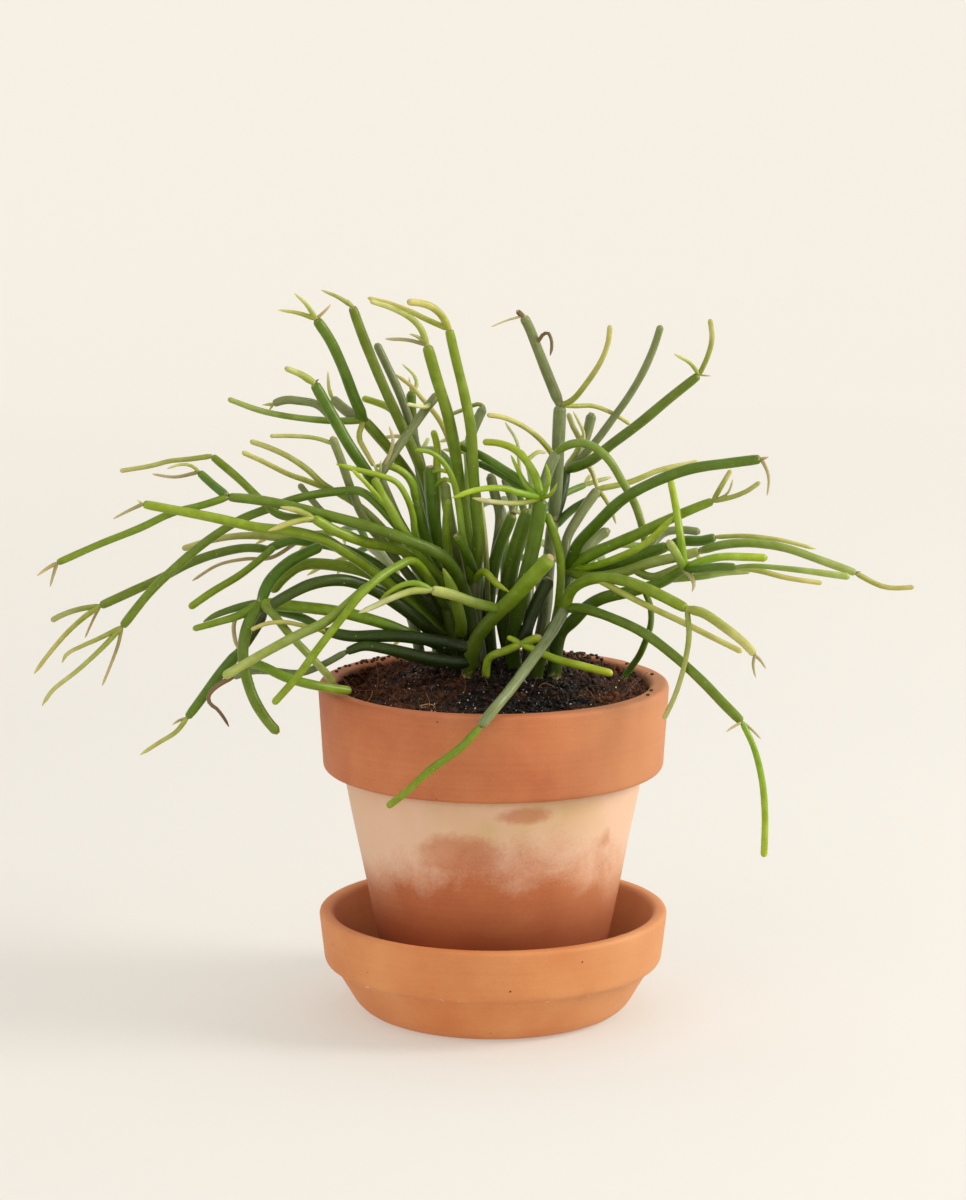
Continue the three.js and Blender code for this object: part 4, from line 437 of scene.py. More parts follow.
  ['fork_down', 'fork', 1, 'blunt', 6, 5, 'young', [359, 437, 8], [366, 452, 5], [374, 466, 2]],
  ['upper_left', [-17, 22.5], 0, 'joint', 12, 11.5, 'dark', [438, 602, 17], [422, 565, 12], [402, 528, 8],
    [384, 498, 5], [367, 472, 3], [349, 445, 1], [332, 415, 0], [314, 383, -2]],
  ['upper_left_tip', 'upper_left', 1, 'scar', 8.5, 5.5, 'young', [300, 374, -4], [285, 368, -6]],
  ['upper_left_nub', 'upper_left', 1, 'point', 4, 3, 'dry', [319, 379, -2]],
  ['upper_left_rear', 'upper_left', 0.87, 'joint', 8.5, 8.5, 'grey', [318, 405, 3], [300, 401, 5],
    [285, 400, 6], [273, 404, 7]],
  ['rear_bud_a', 'upper_left_rear', 1, 'point', 4, 2, 'pale', [262, 405, 7]],
  ['rear_bud_b', 'upper_left_rear', 1, 'point', 4, 2, 'pale', [269, 411, 6]],
  ['upper_left_short', 'upper_left', 0.3, 'scar', 9.5, 8.5, 'grey', [385, 545, 0], [364, 518, -4],
    [351, 489, -7], [341, 460, -9], [332, 437, -11]],
  ['short_tip', 'upper_left_short', 0.96, 'blunt', 4.5, 4, 'young', [315, 438, -12], [292, 436, -14],
    [270, 436, -16]],
  ['left_pair', 'upper_left', 0.38, 'joint', 8.5, 7.5, 'olive', [375, 520, -3], [352, 501, -7],
    [335, 491, -9]],
  ['left_pair_a', 'left_pair', 1, 'blunt', 6.5, 5.5, 'young', [324, 485, -10], [308, 470, -12],
    [289, 457, -13], [270, 448, -14], [250, 441, -15]],
  ['left_pair_b', 'left_pair', 1, 'blunt', 6, 5, 'young', [318, 485, -7], [305, 480, -6], [288, 474, -5],
    [264, 462, -4], [242, 452, -3]],
  ['left_pair_c', 'left_pair', 0.6, 'scar', 7, 6.5, 'grey', [330, 517, 2], [312, 500, 4], [299, 484, 5]],
  ['cross_grey', 'upper_left', 0.36, 'joint', 7.5, 8.5, 'grey', [400, 522, -3], [389, 497, -6],
    [380, 476, -8]],
  ['cross_grey_up', 'cross_grey', 1, 'scar', 9, 9, 'grey', [392, 456, -3], [410, 431, 3], [425, 410, 8],
    [438, 394, 13]],
  ['cross_bud_a', 'cross_grey', 1, 'point', 4.5, 2.5, 'pale', [373, 463, -10]],
  ['cross_bud_b', 'cross_grey', 1, 'point', 3.5, 2, 'pale', [381, 460, -11]],
  ['cross_bud_c', 'cross_grey_up', 0.85, 'blunt', 4.5, 4, 'pale', [424, 407, 2], [407, 404, 0]],
  ['cross_bud_d', 'cross_grey_up', 0.08, 'point', 4, 3, 'tan', [393, 441, -7], [389, 426, -8]],
  # left: two long nearly level stems
  ['left_long', [-7, 4], 0, 'joint', 14, 9.5, 'leaf', [471, 618, 5], [462, 585, 1], [443, 557, -8],
    [405, 539, -15], [370, 527, -18], [330, 516, -20], [290, 506, -21], [258, 500, -22], [228, 497, -23]],
  ['long_out', 'left_long', 1, 'joint', 7.5, 7, 'mid', [203, 505, -24], [172, 513, -25], [140, 528, -26],
    [100, 544, -27], [57, 563, -28]],
  ['long_out_a', 'long_out', 1, 'point', 4.5, 2.5, 'tan', [46, 569, -29], [37, 576, -30]],
  ['long_out_b', 'long_out', 1, 'point', 4, 2, 'tan', [53, 576, -29], [50, 587, -29]],
  ['long_up', 'left_long', 1, 'joint', 9, 8.5, 'dark', [212, 484, -18], [199, 472, -15]],
  ['long_up_a', 'long_up', 1, 'point', 4, 2.5, 'tan', [175, 477, -14], [152, 474, -13]],
  ['long_up_b', 'long_up', 1, 'point', 4, 2, 'young', [190, 465, -16], [178, 465, -17], [167, 469, -18]],
  ['long_high', 'left_long', 0.74, 'joint', 8, 8, 'leaf', [280, 515, -14], [262, 501, -10], [238, 478, -8],
    [212, 456, -7]],
  ['long_high_tip', 'long_high', 1, 'blunt', 5.5, 4.5, 'young', [190, 459, -6], [170, 461, -5],
    [150, 466, -4], [120, 471, -3]],
  ['bright_short', 'left_long', 0.3, 'joint', 10.5, 9.5, 'mid', [403, 531, -13], [391, 510, -15],
    [382, 495, -16], [374, 478, -17]],
  ['bright_tip', 'bright_short', 0.8, 'point', 6, 4, 'fresh', [362, 479, -20], [351, 469, -22]],
  ['droop', 'bright_short', 0.62, 'joint', 8.5, 9, 'leaf', [362, 492, -13], [345, 491, -12],
    [318, 494, -12], [295, 499, -12], [270, 508, -11], [240, 520, -9], [207, 541, -8], [176, 567, -9],
    [150, 592, -11], [122, 627, -14]],
  ['droop_a', 'droop', 1, 'point', 5.5, 3.5, 'young', [100, 638, -15], [80, 647, -16], [67, 654, -17],
    [62, 663, -17]],
  ['droop_b', 'droop', 1, 'point', 5.5, 4, 'young', [102, 648, -16], [78, 670, -18], [52, 691, -20],
    [42, 706, -21]],
  ['droop_c', 'droop', 1, 'point', 4, 2.5, 'tan', [118, 645, -13], [111, 664, -12], [102, 686, -11]],
  ['left_mid', [-15.5, 8], 0, 'joint', 13, 10, 'mid', [450, 624, 5], [442, 590, 1], [425, 563, -4],
    [398, 549, -9], [365, 542, -15], [338, 532, -21], [313, 518, -26]],
  ['blade', 'left_mid', 0.3, 'point', 14, 11, 'mid', [461, 628, -4], [456, 603, -7], [449, 582, -9],
    [443, 568, -10]],
  ['left_mid_a', 'left_mid', 1, 'point', 6.5, 5, 'young', [299, 511, -28], [280, 507, -30]],
  ['left_mid_b', 'left_mid', 1, 'point', 6, 5.5, 'young', [290, 523, -32], [268, 531, -36]],
  ['arch', 'left_mid', 0.42, 'blunt', 9, 7.5, 'mid', [413, 561, -19], [398, 566, -26], [380, 577, -33],
    [362, 593, -39], [342, 618, -43], [320, 646, -46], [297, 677, -47], [273, 704, -47]],
  ['arch_side', 'arch', 0.5, 'blunt', 10, 9, 'olive', [325, 622, -42], [300, 634, -41], [275, 647, -41],
    [250, 661, -42], [223, 677, -43]],
  # left, wide bright stem that lies over the others
  ['left_bright', 'left_mid', 0.29, 'joint', 12.5, 9, 'mid', [437, 632, 3], [412, 606, -2], [384, 580, -8],
    [363, 564, -13], [345, 552, -17], [325, 540, -21], [290, 531, -25], [255, 527, -28], [220, 519, -31],
    [180, 511, -35], [143, 504, -38]],
  ['bright_bud_a', 'left_bright', 1, 'point', 4, 2, 'tan', [128, 511, -39], [113, 519, -40]],
  ['bright_bud_b', 'left_bright', 1, 'point', 4, 2.5, 'pale', [137, 500, -38]],
  # left, dark stems
  ['left_dark', 'left_mid', 0.31, 'joint', 12, 9, 'dark', [438, 625, 12], [410, 592, 9], [388, 573, 7],
    [365, 558, 6], [340, 548, 5], [315, 543, 5], [290, 541, 5], [268, 549, 5]],
  ['dark_out', 'left_dark', 1, 'joint', 9, 9, 'leaf', [245, 548, 5], [215, 554, 5], [190, 563, 5],
    [165, 576, 4], [135, 590, 3], [100, 606, 2]],
  ['dark_out_a', 'dark_out', 1, 'blunt', 5.5, 6, 'young', [80, 609, 2], [62, 615, 1], [51, 621, 0]],
  ['dark_out_b', 'dark_out', 1, 'point', 6, 4, 'young', [82, 619, -2], [65, 635, -4], [48, 655, -6],
    [34, 674, -8]],
  ['dark_out_c', 'dark_out', 1, 'point', 3.5, 2, 'tan', [92, 622, 6], [85, 638, 8]],
  ['dark_down', 'left_dark', 0.97, 'blunt', 7.5, 7.5, 'mid', [258, 561, -1], [240, 575, -4], [212, 592, -7],
    [189, 608, -9]],
  ['dark_thin', 'left_dark', 0.85, 'point', 4.5, 3, 'tan', [270, 558, 12], [245, 559, 15], [218, 565, 16],
    [192, 581, 16]],
  ['dark_level', 'left_dark', 0.86, 'blunt', 8.5, 6, 'young', [262, 536, 9], [238, 536, 9], [212, 540, 8],
    [182, 549, 7]],
  # left, low: the stems that meet at a hanging joint
  ['left_low', 'left_mid', 0.28, 'joint', 11, 12, 'mid', [434, 643, -1], [410, 634, -9], [388, 625, -12],
    [365, 618, -13], [345, 613, -14], [320, 609, -16], [290, 606, -18], [260, 603, -19]],
  ['low_up', 'left_low', 1, 'blunt', 12, 11, 'dark', [270, 581, -15], [288, 563, -12], [306, 553, -9],
    [322, 546, -7]],
  ['low_left_a', 'left_low', 1, 'point', 9.5, 5, 'dark', [236, 608, -15], [216, 615, -14], [203, 622, -13]],
  ['low_left_b', 'left_low', 1, 'scar', 9.5, 6, 'mid', [240, 615, -22], [218, 622, -25], [193, 629, -28]],
  ['low_hang', 'left_low', 1, 'scar', 12, 10, 'leaf', [248, 625, -24], [243, 650, -27], [246, 675, -29],
    [254, 699, -30], [266, 719, -30], [278, 733, -29]],
  ['low_rim', 'left_low', 1, 'blunt', 8.5, 7.5, 'olive', [272, 613, -22], [290, 635, -24], [310, 656, -23],
    [324, 671, -20], [334, 683, -17]],
  ['low_rim_b', 'low_hang', 0.42, 'blunt', 10, 9, 'mid', [262, 666, -36], [285, 677, -38], [305, 683, -37],
    [330, 688, -33], [351, 691, -28]],
  ['low_dry', 'low_hang', 0.12, 'point', 4.5, 4, 'tan', [236, 618, -20], [234, 634, -19], [238, 650, -19]],
  ['low_dark', 'left_low', 0.99, 'joint', 10, 11, 'deep', [262, 616, -12], [253, 632, -10], [240, 651, -9]],
  ['low_dark_out', 'low_dark', 1, 'joint', 12, 8.5, 'dark', [224, 669, -10], [208, 690, -11],
    [197, 705, -11], [187, 718, -11]],
  ['dark_tip_a', 'low_dark_out', 1, 'point', 5.5, 3.5, 'young', [176, 732, -12], [160, 742, -13],
    [140, 755, -14]],
  ['dark_tip_b', 'low_dark_out', 1, 'point', 3.5, 2, 'tan', [180, 720, -10], [172, 725, -9]],
  # left, lowest: broad stems that leave the crown close to the soil
  ['wide_light', 'left_mid', 0.3, 'blunt', 13, 11, 'mid', [437, 629, 9], [410, 602, 7], [388, 584, 5],
    [368, 573, 3], [340, 566, 1], [303, 565, -1], [284, 577, -3], [271, 592, -4]],
  ['wide_brown', 'left_mid', 0.29, 'blunt', 14, 11, 'deep', [438, 637, 2], [415, 617, -4], [390, 599, -9],
    [365, 586, -15], [340, 580, -21], [312, 584, -26], [290, 594, -28], [270, 606, -29]],
  ['level_dark', 'stub', 0.41, 'joint', 14, 11, 'deep', [455, 645, -7], [430, 640, -9], [400, 636, -11],
    [372, 636, -13], [350, 636, -15], [325, 631, -17]],
  ['level_dark_end', 'level_dark', 1, 'blunt', 9.5, 8.5, 'dark', [305, 619, -15], [286, 613, -11],
    [274, 611, -8]],
  ['level_thin', 'level_dark', 0.98, 'blunt', 5, 4, 'young', [300, 625, -22], [283, 622, -24],
    [265, 624, -25], [251, 630, -25]],
  ['lowest', 'stub', 0.37, 'joint', 16, 9, 'deep', [452, 662, -10], [430, 659, -13], [405, 653, -16],
    [382, 648, -18], [363, 646, -19], [346, 652, -20]],
  ['lowest_out', 'lowest', 1, 'joint', 6.5, 8, 'grey', [322, 665, -20], [300, 673, -20], [272, 671, -19],
    [250, 671, -18], [233, 677, -18]],
  ['shrivelled', 'lowest_out', 1, 'point', 5.5, 3, 'dry', [220, 684, -19], [210, 693, -19], [208, 701, -19],
    [217, 709, -19], [224, 718, -18], [229, 727, -17]],
]

# ---- small helpers

NODE_FAMILIES = ("ShaderNode", "GeometryNode", "FunctionNode")


def linear(hex_colour):
    """An sRGB hex colour as a linear one."""
    channels = [int(hex_colour[k:k + 2], 16) / 255 for k in (1, 3, 5)]
    return [c / 12.92 if c <= 0.04045 else ((c + 0.055) / 1.055) ** 2.4 for c in channels] + [1.0]


def per_mm(size_mm):
    """The scale that gives a pattern on Object coordinates features of this many millimetres."""
    return 1.0 / (size_mm * MM)


def smoothstep(value, low, high):
    share = min(max((value - low) / (high - low), 0.0), 1.0)
    return share * share * (3 - 2 * share)


def fill_sockets(tree, node, inputs):
    """Gives sockets, by name or number, a value, a hex colour, a socket, a node or a list of nodes."""
    for key, value in inputs.items():
        socket = node.inputs[key] if isinstance(key, int) else \
            next(each for each in node.inputs if each.enabled and each.name == key)
        for source in value if isinstance(value, list) else [value]:
            if isinstance(source, bpy.types.Node):
                source = next(each for each in source.outputs if each.enabled)
            if isinstance(source, bpy.types.NodeSocket):
                tree.links.new(source, socket)
            else:
                is_colour = isinstance(source, str) and source.startswith("#")
                socket.default_value = linear(source) if is_colour else source


def add_node(tree, kind, inputs=None, **settings):
    """Adds a node of a kind from any of NODE_FAMILIES with its settings, and fills its sockets."""
    family = next(family for family in NODE_FAMILIES if hasattr(bpy.types, family + kind))
    made = tree.nodes.new(family + kind)
    for name, value in settings.items():
        setattr(made, name, value)
    fill_sockets(tree, made, inputs or {})
    return made


def mesh_object(name, verts_mm, faces, edges=()):
    """A mesh piece at the origin, from vertices in mm."""
    mesh = bpy.data.meshes.new(name)
    mesh.from_pydata([[c * MM for c in place] for place in verts_mm], list(edges), faces)
    made = bpy.data.objects.new(name, mesh)
    bpy.context.scene.collection.objects.link(made)
    return made


def store_values(obj, name, values):
    """Stores a number for each vertex of obj, for a tree or a material to read."""
    stored = obj.data.attributes.new(name, "FLOAT", "POINT")
    stored.data.foreach_set("value", values)


def run_nodes(obj, tree, values):
    """Runs a Geometry Nodes tree on obj, and puts the result in its place as a plain mesh piece."""
    modifier = obj.modifiers.new(tree.name, "NODES")
    modifier.node_group = tree
    for item in tree.interface.items_tree:
        if item.in_out == "INPUT" and item.name in values:
            modifier[item.identifier] = values[item.name]
    name = obj.name
    obj.name = name + "_outline"
    evaluated = obj.evaluated_get(bpy.context.evaluated_depsgraph_get())
    made = bpy.data.objects.new(name, bpy.data.meshes.new_from_object(evaluated))
    bpy.context.scene.collection.objects.link(made)
    obj.modifiers.remove(modifier)
    bpy.data.objects.remove(obj)
    return made


def node_tree(name, sockets):
    """An empty Geometry Nodes tree: itself, its inputs and the socket that takes its result."""
    tree = bpy.data.node_groups.new(name, "GeometryNodeTree")
    tree.interface.new_socket(name="Geometry", in_out="INPUT", socket_type="NodeSocketGeometry")
    for label, kind in sockets.items():
        tree.interface.new_socket(name=label, in_out="INPUT", socket_type="NodeSocket" + kind)
    tree.interface.new_socket(name="Geometry", in_out="OUTPUT", socket_type="NodeSocketGeometry")
    return tree, tree.nodes.new("NodeGroupInput").outputs, tree.nodes.new("NodeGroupOutput").inputs[0]


def new_material(name, roughness, ior=1.5):
    """A material with its node tree and its shader."""
    material = bpy.data.materials.new(name)
    material.use_nodes = True
    tree = material.node_tree
    tree.nodes.clear()
    shader = add_node(tree, "BsdfPrincipled", {"Roughness": roughness, "IOR": ior})
    add_node(tree, "OutputMaterial", {"Surface": shader})
    return material, tree, shader


# ---- camera, floor and lights


def make_camera():
    camera = bpy.data.cameras.new("camera")
    camera.sensor_width = SENSOR_MM
    camera.lens = SENSOR_MM * SHEET_REACH / FRAME_LONG_SIDE
    camera.clip_start, camera.clip_end = 0.05, 20
    eye = bpy.data.objects.new("camera", camera)
    eye.location = Vector(EYE) * MM
    eye.rotation_euler = (math.pi / 2 - EYE_PITCH, 0, 0)
    bpy.context.scene.collection.objects.link(eye)
    bpy.context.scene.camera = eye


def studio_paper():
    """Background paper: matt and cream, without any shine. It glows by emission, a painted light in place of
    lamps of its own, evenly and a little more further off."""
    material, tree, shader = new_material("cream_studio_paper", 0.95)
    where = add_node(tree, "TexCoord").outputs["Object"]
    away = add_node(tree, "VectorMath", {0: where}, operation="LENGTH").outputs["Value"]
    glow = add_node(tree, "MapRange", {
        "Value": away, "From Min": GLOW_NEAR, "From Max": GLOW_FAR,
        "To Min": FLOOR_GLOW, "To Max": BACKDROP_GLOW})
    fill_sockets(tree, shader, {"Base Color": "#b3b3b1", "Specular IOR Level": 0.1,
                                "Emission Color": "#fdf5e8", "Emission Strength": glow})
    return material


def paper_sweep():
    """The floor, swept up into a wall all round, so that no horizon shows from any side."""
    floor_radius, sweep_radius, wall_height, steps = 1900.0, 700.0, 2600.0, 12
    profile = [(0.0, 0.0), (600.0, 0.0), (1200.0, 0.0), (floor_radius, 0.0)]
    for step in range(1, steps + 1):
        angle = math.pi / 2 * step / steps
        profile.append((floor_radius + sweep_radius * math.sin(angle), sweep_radius * (1 - math.cos(angle))))
    profile.append((floor_radius + sweep_radius, wall_height))
    paper = turned_object("paper_sweep", profile, studio_paper(), closed=False)
    paper.data.flip_normals()


def area_light(name, place, size, watts, colour):
    light = bpy.data.lights.new(name, "AREA")
    light.shape = "DISK"
    light.size = size
    light.energy = watts
    light.color = linear(colour)[:3]
    lamp = bpy.data.objects.new(name, light)
    lamp.location = place
    lamp.rotation_euler = (LIT_PLACE - Vector(place)).to_track_quat("-Z", "Y").to_euler()
    bpy.context.scene.collection.objects.link(lamp)


def light_studio():
    """A large soft key from the right and a little in front, a broad fill over the front, and a pale room."""
    area_light("key", (1.54, -0.2, 0.95), 0.75, KEY_WATTS, "#fffaf3")
    area_light("fill", (-0.9, -1.3, 1.2), 1.5, FILL_WATTS, "#fdfbff")
    area_light("top", (0.2, 0.5, 1.9), 1.2, TOP_WATTS, "#ffffff")
    world = bpy.data.worlds.new("pale_room")
    world.use_nodes = True
    background = world.node_tree.nodes["Background"]
    fill_sockets(world.node_tree, background, {"Color": "#faf9f7", "Strength": SKY})
    bpy.context.scene.world = world
    bpy.context.scene.view_settings.view_transform = "Standard"


# ---- turned clay


def turned_object(name, profile, material, closed=True):
    """A smooth body turned round the Z axis from a profile of (radius, z) in mm that runs up its outside.
    Where the profile touches the axis, the body gets one vertex."""
    verts, rows = [], []
    for radius, z in profile:
        on_axis = radius < ON_AXIS
        count = 1 if on_axis else TURNED_SEGMENTS
        rows.append([len(verts) + (0 if on_axis else spoke) for spoke in range(TURNED_SEGMENTS)])
        for spoke in range(count):
            angle = 2 * math.pi * spoke / TURNED_SEGMENTS
            verts.append((radius * math.cos(angle), radius * math.sin(angle), z))
    faces = []
    for low, high in zip(rows, rows[1:] + (rows[:1] if closed else [])):
        for spoke in range(TURNED_SEGMENTS):
            following = (spoke + 1) % TURNED_SEGMENTS
            corners = [low[spoke], low[following], high[following], high[spoke]]
            kept = [corner for k, corner in enumerate(corners) if corner != corners[k - 1]]
            if len(kept) > 2:
                faces.append(kept)
    made = mesh_object(name, verts, faces)
    made.data.materials.append(material)
    made.data.polygons.foreach_set("use_smooth", [True] * len(faces))
    return made


def rounded_outline(corners, step_mm=2.2, arc_steps=6):
    """A (radius, z) outline from corners (radius, z, fillet), with points no further apart than step_mm."""
    places = [Vector(corner[:2]) for corner in corners]
    outline = []
    for index, corner in enumerate(places):
        fillet = corners[index][2]
        if not fillet:
            outline.append(corner)
            continue
        before = corner + (places[index - 1] - corner).normalized() * fillet
        after = corner + (places[(index + 1) % len(places)] - corner).normalized() * fillet
        for step in range(arc_steps + 1):
            share = step / arc_steps
            outline.append(before * (1 - share) ** 2 + corner * 2 * share * (1 - share) + after * share ** 2)
    filled = []
    for index, place in enumerate(outline):
        following = outline[(index + 1) % len(outline)]
        count = max(1, math.ceil((following - place).length / step_mm))
        filled += [place.lerp(following, piece / count) for piece in range(count)]
    return [tuple(place) for place in filled]


def wear(obj, wobble_mm, chips):
    """Clay that was turned and fired: a slow wobble, a finer one, and small chips out of the lips."""
    for vertex in obj.data.vertices:
        place = vertex.co / MM
        outward = Vector((place.x, place.y, 0.0))
        radius = outward.length
        if radius < 1.0:
            continue
        outward /= radius
        push = 0.0
        for width, height, share in CLAY_WOBBLES:
            spot = Vector((place.x / width, place.y / width, place.z / height))
            push += noise.noise(spot) * wobble_mm * share
        for angle, z, width, depth in chips:
            spot = Vector((math.cos(math.radians(angle)), math.sin(math.radians(angle)), 0.0)) * radius
            away = math.hypot((place - spot).to_2d().length, place.z - z)
            push -= depth * max(0.0, 1 - (away / width) ** 2)
        vertex.co += outward * push * MM


def pot_piece():
    outline = rounded_outline([
        (POT_FOOT_RADIUS, POT_FOOT_Z, 2.0),
        (POT_NECK_RADIUS, POT_BAND_Z, 1.2),
        (POT_BAND_RADIUS, POT_BAND_Z + BAND_STEP, 2.6),
        (POT_LIP_RADIUS, POT_TOP_Z, 2.2),
        (POT_MOUTH_RADIUS, POT_TOP_Z, 2.2),
        (POT_INNER_FOOT_RADIUS, POT_FLOOR_Z, 4.0),
        (DRAIN_RADIUS, POT_FLOOR_Z, 1.0),
        (DRAIN_RADIUS, POT_FOOT_Z, 0.6),
    ])
    pot = turned_object("turned_pot", outline, pot_terracotta())
    wear(pot, POT_WOBBLE, POT_CHIPS)
    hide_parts("pot")
    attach(pot, "root")


def saucer_piece():
    outline = rounded_outline([
        (0.0, 0.0, 0.0),
        (SAUCER_FOOT_RADIUS, 0.0, 7.0),
        (SAUCER_NECK_RADIUS, SAUCER_BAND_Z, 1.0),
        (SAUCER_BAND_RADIUS, SAUCER_BAND_Z + BAND_STEP, 2.4),
        (SAUCER_LIP_RADIUS, SAUCER_HEIGHT, 2.2),
        (SAUCER_LIP_RADIUS - SAUCER_LIP_WIDTH, SAUCER_HEIGHT, 2.2),
        (SAUCER_INNER_FOOT_RADIUS, SAUCER_FLOOR, 7.0),
        (0.0, SAUCER_FLOOR, 0.0),
    ])
    # the line down the axis, which closes the outline, is left out
    profile = [place for place in outline if place[0] > ON_AXIS or place[1] in (0.0, SAUCER_FLOOR)]
    saucer = turned_object("turned_saucer", profile, saucer_terracotta(), closed=False)
    wear(saucer, SAUCER_WOBBLE, SAUCER_CHIPS)
    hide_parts("saucer")
    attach(saucer, "root")


# ---- where the stems grow


class Stem:
    """One joint of a shoot: its place every few millimetres, and its radius there."""

    def __init__(self, name, shoot, parent, sample, kind, tone, widths, points):
        self.name, self.shoot, self.parent, self.sample = name, shoot, parent, sample
        self.kind, self.tone, self.widths = kind, tone, widths
        self.path = even_points(np.array(points, float), STEM_SPACING)
        self.radii = np.linspace(widths[0], widths[1], len(self.path)) / 2
        self.end = {"parent": self, "sample": len(self.path) - 1}


def curve_points(points, shares):
    """Points at shares 0 to 1 of the centripetal spline through points."""
    line = np.vstack([2 * points[0] - points[1], points, 2 * points[-1] - points[-2]])
    place = np.clip(shares, 0, 1) * (len(points) - 1)
    first = np.minimum(place.astype(int), len(points) - 2)
    t = (place - first)[:, None]
    a, b, c, d = (line[first + k] for k in range(4))
    steps = ((a, b), (b, c), (c, d))
    gap_a, gap_b, gap_c = (np.sqrt(np.linalg.norm(q - p, axis=1))[:, None] for p, q in steps)
    gap_b = np.where(gap_b < LEAST_GAP, 1.0, gap_b)
    gap_a = np.where(gap_a < LEAST_GAP, gap_b, gap_a)
    gap_c = np.where(gap_c < LEAST_GAP, gap_b, gap_c)
    leaving = ((b - a) / gap_a - (c - a) / (gap_a + gap_b) + (c - b) / gap_b) * gap_b
    arriving = ((c - b) / gap_b - (d - b) / (gap_b + gap_c) + (d - c) / gap_c) * gap_b
    return (b + leaving * t + (3 * (c - b) - 2 * leaving - arriving) * t ** 2
            + (2 * (b - c) + leaving + arriving) * t ** 3)


def along_curve(points, distances=None, spacing=None):
    """Points at distances along the spline, or at even steps of about spacing, and its length."""
    shares = np.linspace(0, 1, 201)
    steps = np.linalg.norm(np.diff(curve_points(points, shares), axis=0), axis=1)
    run = np.concatenate([[0], np.cumsum(steps)])
    if distances is None:
        distances = np.linspace(0, run[-1], max(2, math.floor(run[-1] / spacing + 0.5)) + 1)
    return curve_points(points, np.interp(distances, run, shares)), run[-1]


def even_points(points, spacing):
    return along_curve(points, spacing=spacing)[0]


def sight(u, v, depth):
    """The point at sheet place (u, v) that lies depth mm behind the pot's axis."""
    rise = (SHEET_MIDDLE_V - v) / SHEET_REACH
    sin, cos = math.sin(EYE_PITCH), math.cos(EYE_PITCH)
    away = (depth - EYE[1]) / (cos + rise * sin)
    return [EYE[0] + away * (u - SHEET_MIDDLE_U) / SHEET_REACH, depth, EYE[2] + away * (rise * cos - sin)]


def soil_z(x, y):
    """Height of the soil: a mound round the stems, a dip along the left side, and clods all over."""
    reach = math.hypot(x - SOIL_CROWN[0], y - SOIL_CROWN[1]) / SOIL_MOUND_SPREAD
    mound = SOIL_MOUND * math.exp(-reach ** 2 / 2)
    dip = SOIL_LEFT_DIP * smoothstep(-x, 28, 52)
    clods = math.sin(0.9 * x + 1.7 * math.sin(0.55 * y)) * math.cos(0.8 * y + 1.3 * math.sin(0.5 * x))
    return SOIL_RIM_Z + mound - dip + SOIL_CLODS * clods


def root_points(x, y):
    """Every rooted stem comes straight up out of the soil."""
    top = soil_z(x, y) + ROOT_NECK
    return [[x, y, z] for z in (ROOT_Z, (ROOT_Z + top) / 2, top)]


def routed_stems():
    stems = {}
    for name, foot, along, kind, start, end, tone, *route in ROUTES:
        points = [sight(*place) for place in route]
        parent = stems.get(foot) if isinstance(foot, str) else None
        sample = min(math.floor(along * (len(parent.path) - 1) + 0.5), len(parent.path) - 1) if parent else 0
        first = [list(parent.path[sample])] if parent else root_points(*foot)
        stems[name] = Stem(name, parent.shoot if parent else name, parent, sample, kind, tone,
                           (start * SHEET_MM, end * SHEET_MM), first + points)
    return list(stems.values())


def seeded_random(seed):
    """A small generator of numbers from 0 to 1 that runs the same everywhere."""
    state = seed

    def draw():
        nonlocal state
        state = (state + 0x6d2b79f5) & 0xffffffff
        mixed = ((state ^ (state >> 15)) * (state | 1)) & 0xffffffff
        mixed ^= (mixed + (((mixed ^ (mixed >> 7)) * (mixed | 61)) & 0xffffffff)) & 0xffffffff
        return (mixed ^ (mixed >> 14)) / 4294967296

    return draw


def walk(start, heading, turn, slopes, length):
    """A path of equal steps that turns by turn degrees and rises by each of the slopes."""
    points = [start]
    step = length / len(slopes)
    for index, slope in enumerate(slopes):
        angle, rise = math.radians(heading + turn * index / len(slopes)), math.radians(slope)
        x, y, z = points[-1]
        points.append([x + step * math.cos(rise) * math.cos(angle),
                       y + step * math.cos(rise) * math.sin(angle),
                       z + step * math.sin(rise)])
    return points


def back_stems():
    """A stem behind the crown rises, leans over and ends in a few shoots that have tips of their own."""
    draw = seeded_random(BACK_SEED)

    def between(low, high):
        return low + (high - low) * draw()

    stems = []
    for index, (x, y, heading, length, first, last) in enumerate(BACK_STEMS):
        shoot = f"back_{index + 1}"
        roots = root_points(x, y)
        slopes = [first + (last - first) * bend / 4 for bend in range(5)]
        tone = "dark" if draw() < 0.6 else "grey"
        cane = Stem(shoot, shoot, None, 0, "joint", tone, BACK_WIDTHS["cane"],
                    roots[:-1] + walk(roots[-1], heading, between(-14, 14), slopes, length))
        stems.append(cane)
        sides = 2 if draw() < 0.5 else 3
        for side in range(sides):
            swing = (side - (sides - 1) / 2) * between(24, 34)
            tone = "mid" if draw() < 0.5 else "dark"
            turn = between(-15, 15)
            slopes = [last + between(-15, 15), last - 20, last - 25 + between(-20, 10)]
            out = Stem(f"{shoot}_{side + 1}", shoot, **cane.end, kind="joint", tone=tone,
                       widths=BACK_WIDTHS["side"],
                       points=walk(list(cane.path[-1]), heading + swing, turn, slopes, between(34, 58)))
            stems.append(out)
            for bud in range(2):
                aim = heading + swing + (bud - 0.5) * between(40, 70)
                slopes = [last - between(10, 35), last - between(30, 50)]
                stems.append(Stem(f"{out.name}_tip_{bud + 1}", shoot, **out.end, kind="point", tone="young",
                                  widths=BACK_WIDTHS["tip"],
                                  points=walk(list(out.path[-1]), aim, 10, slopes, between(12, 26))))
    return stems


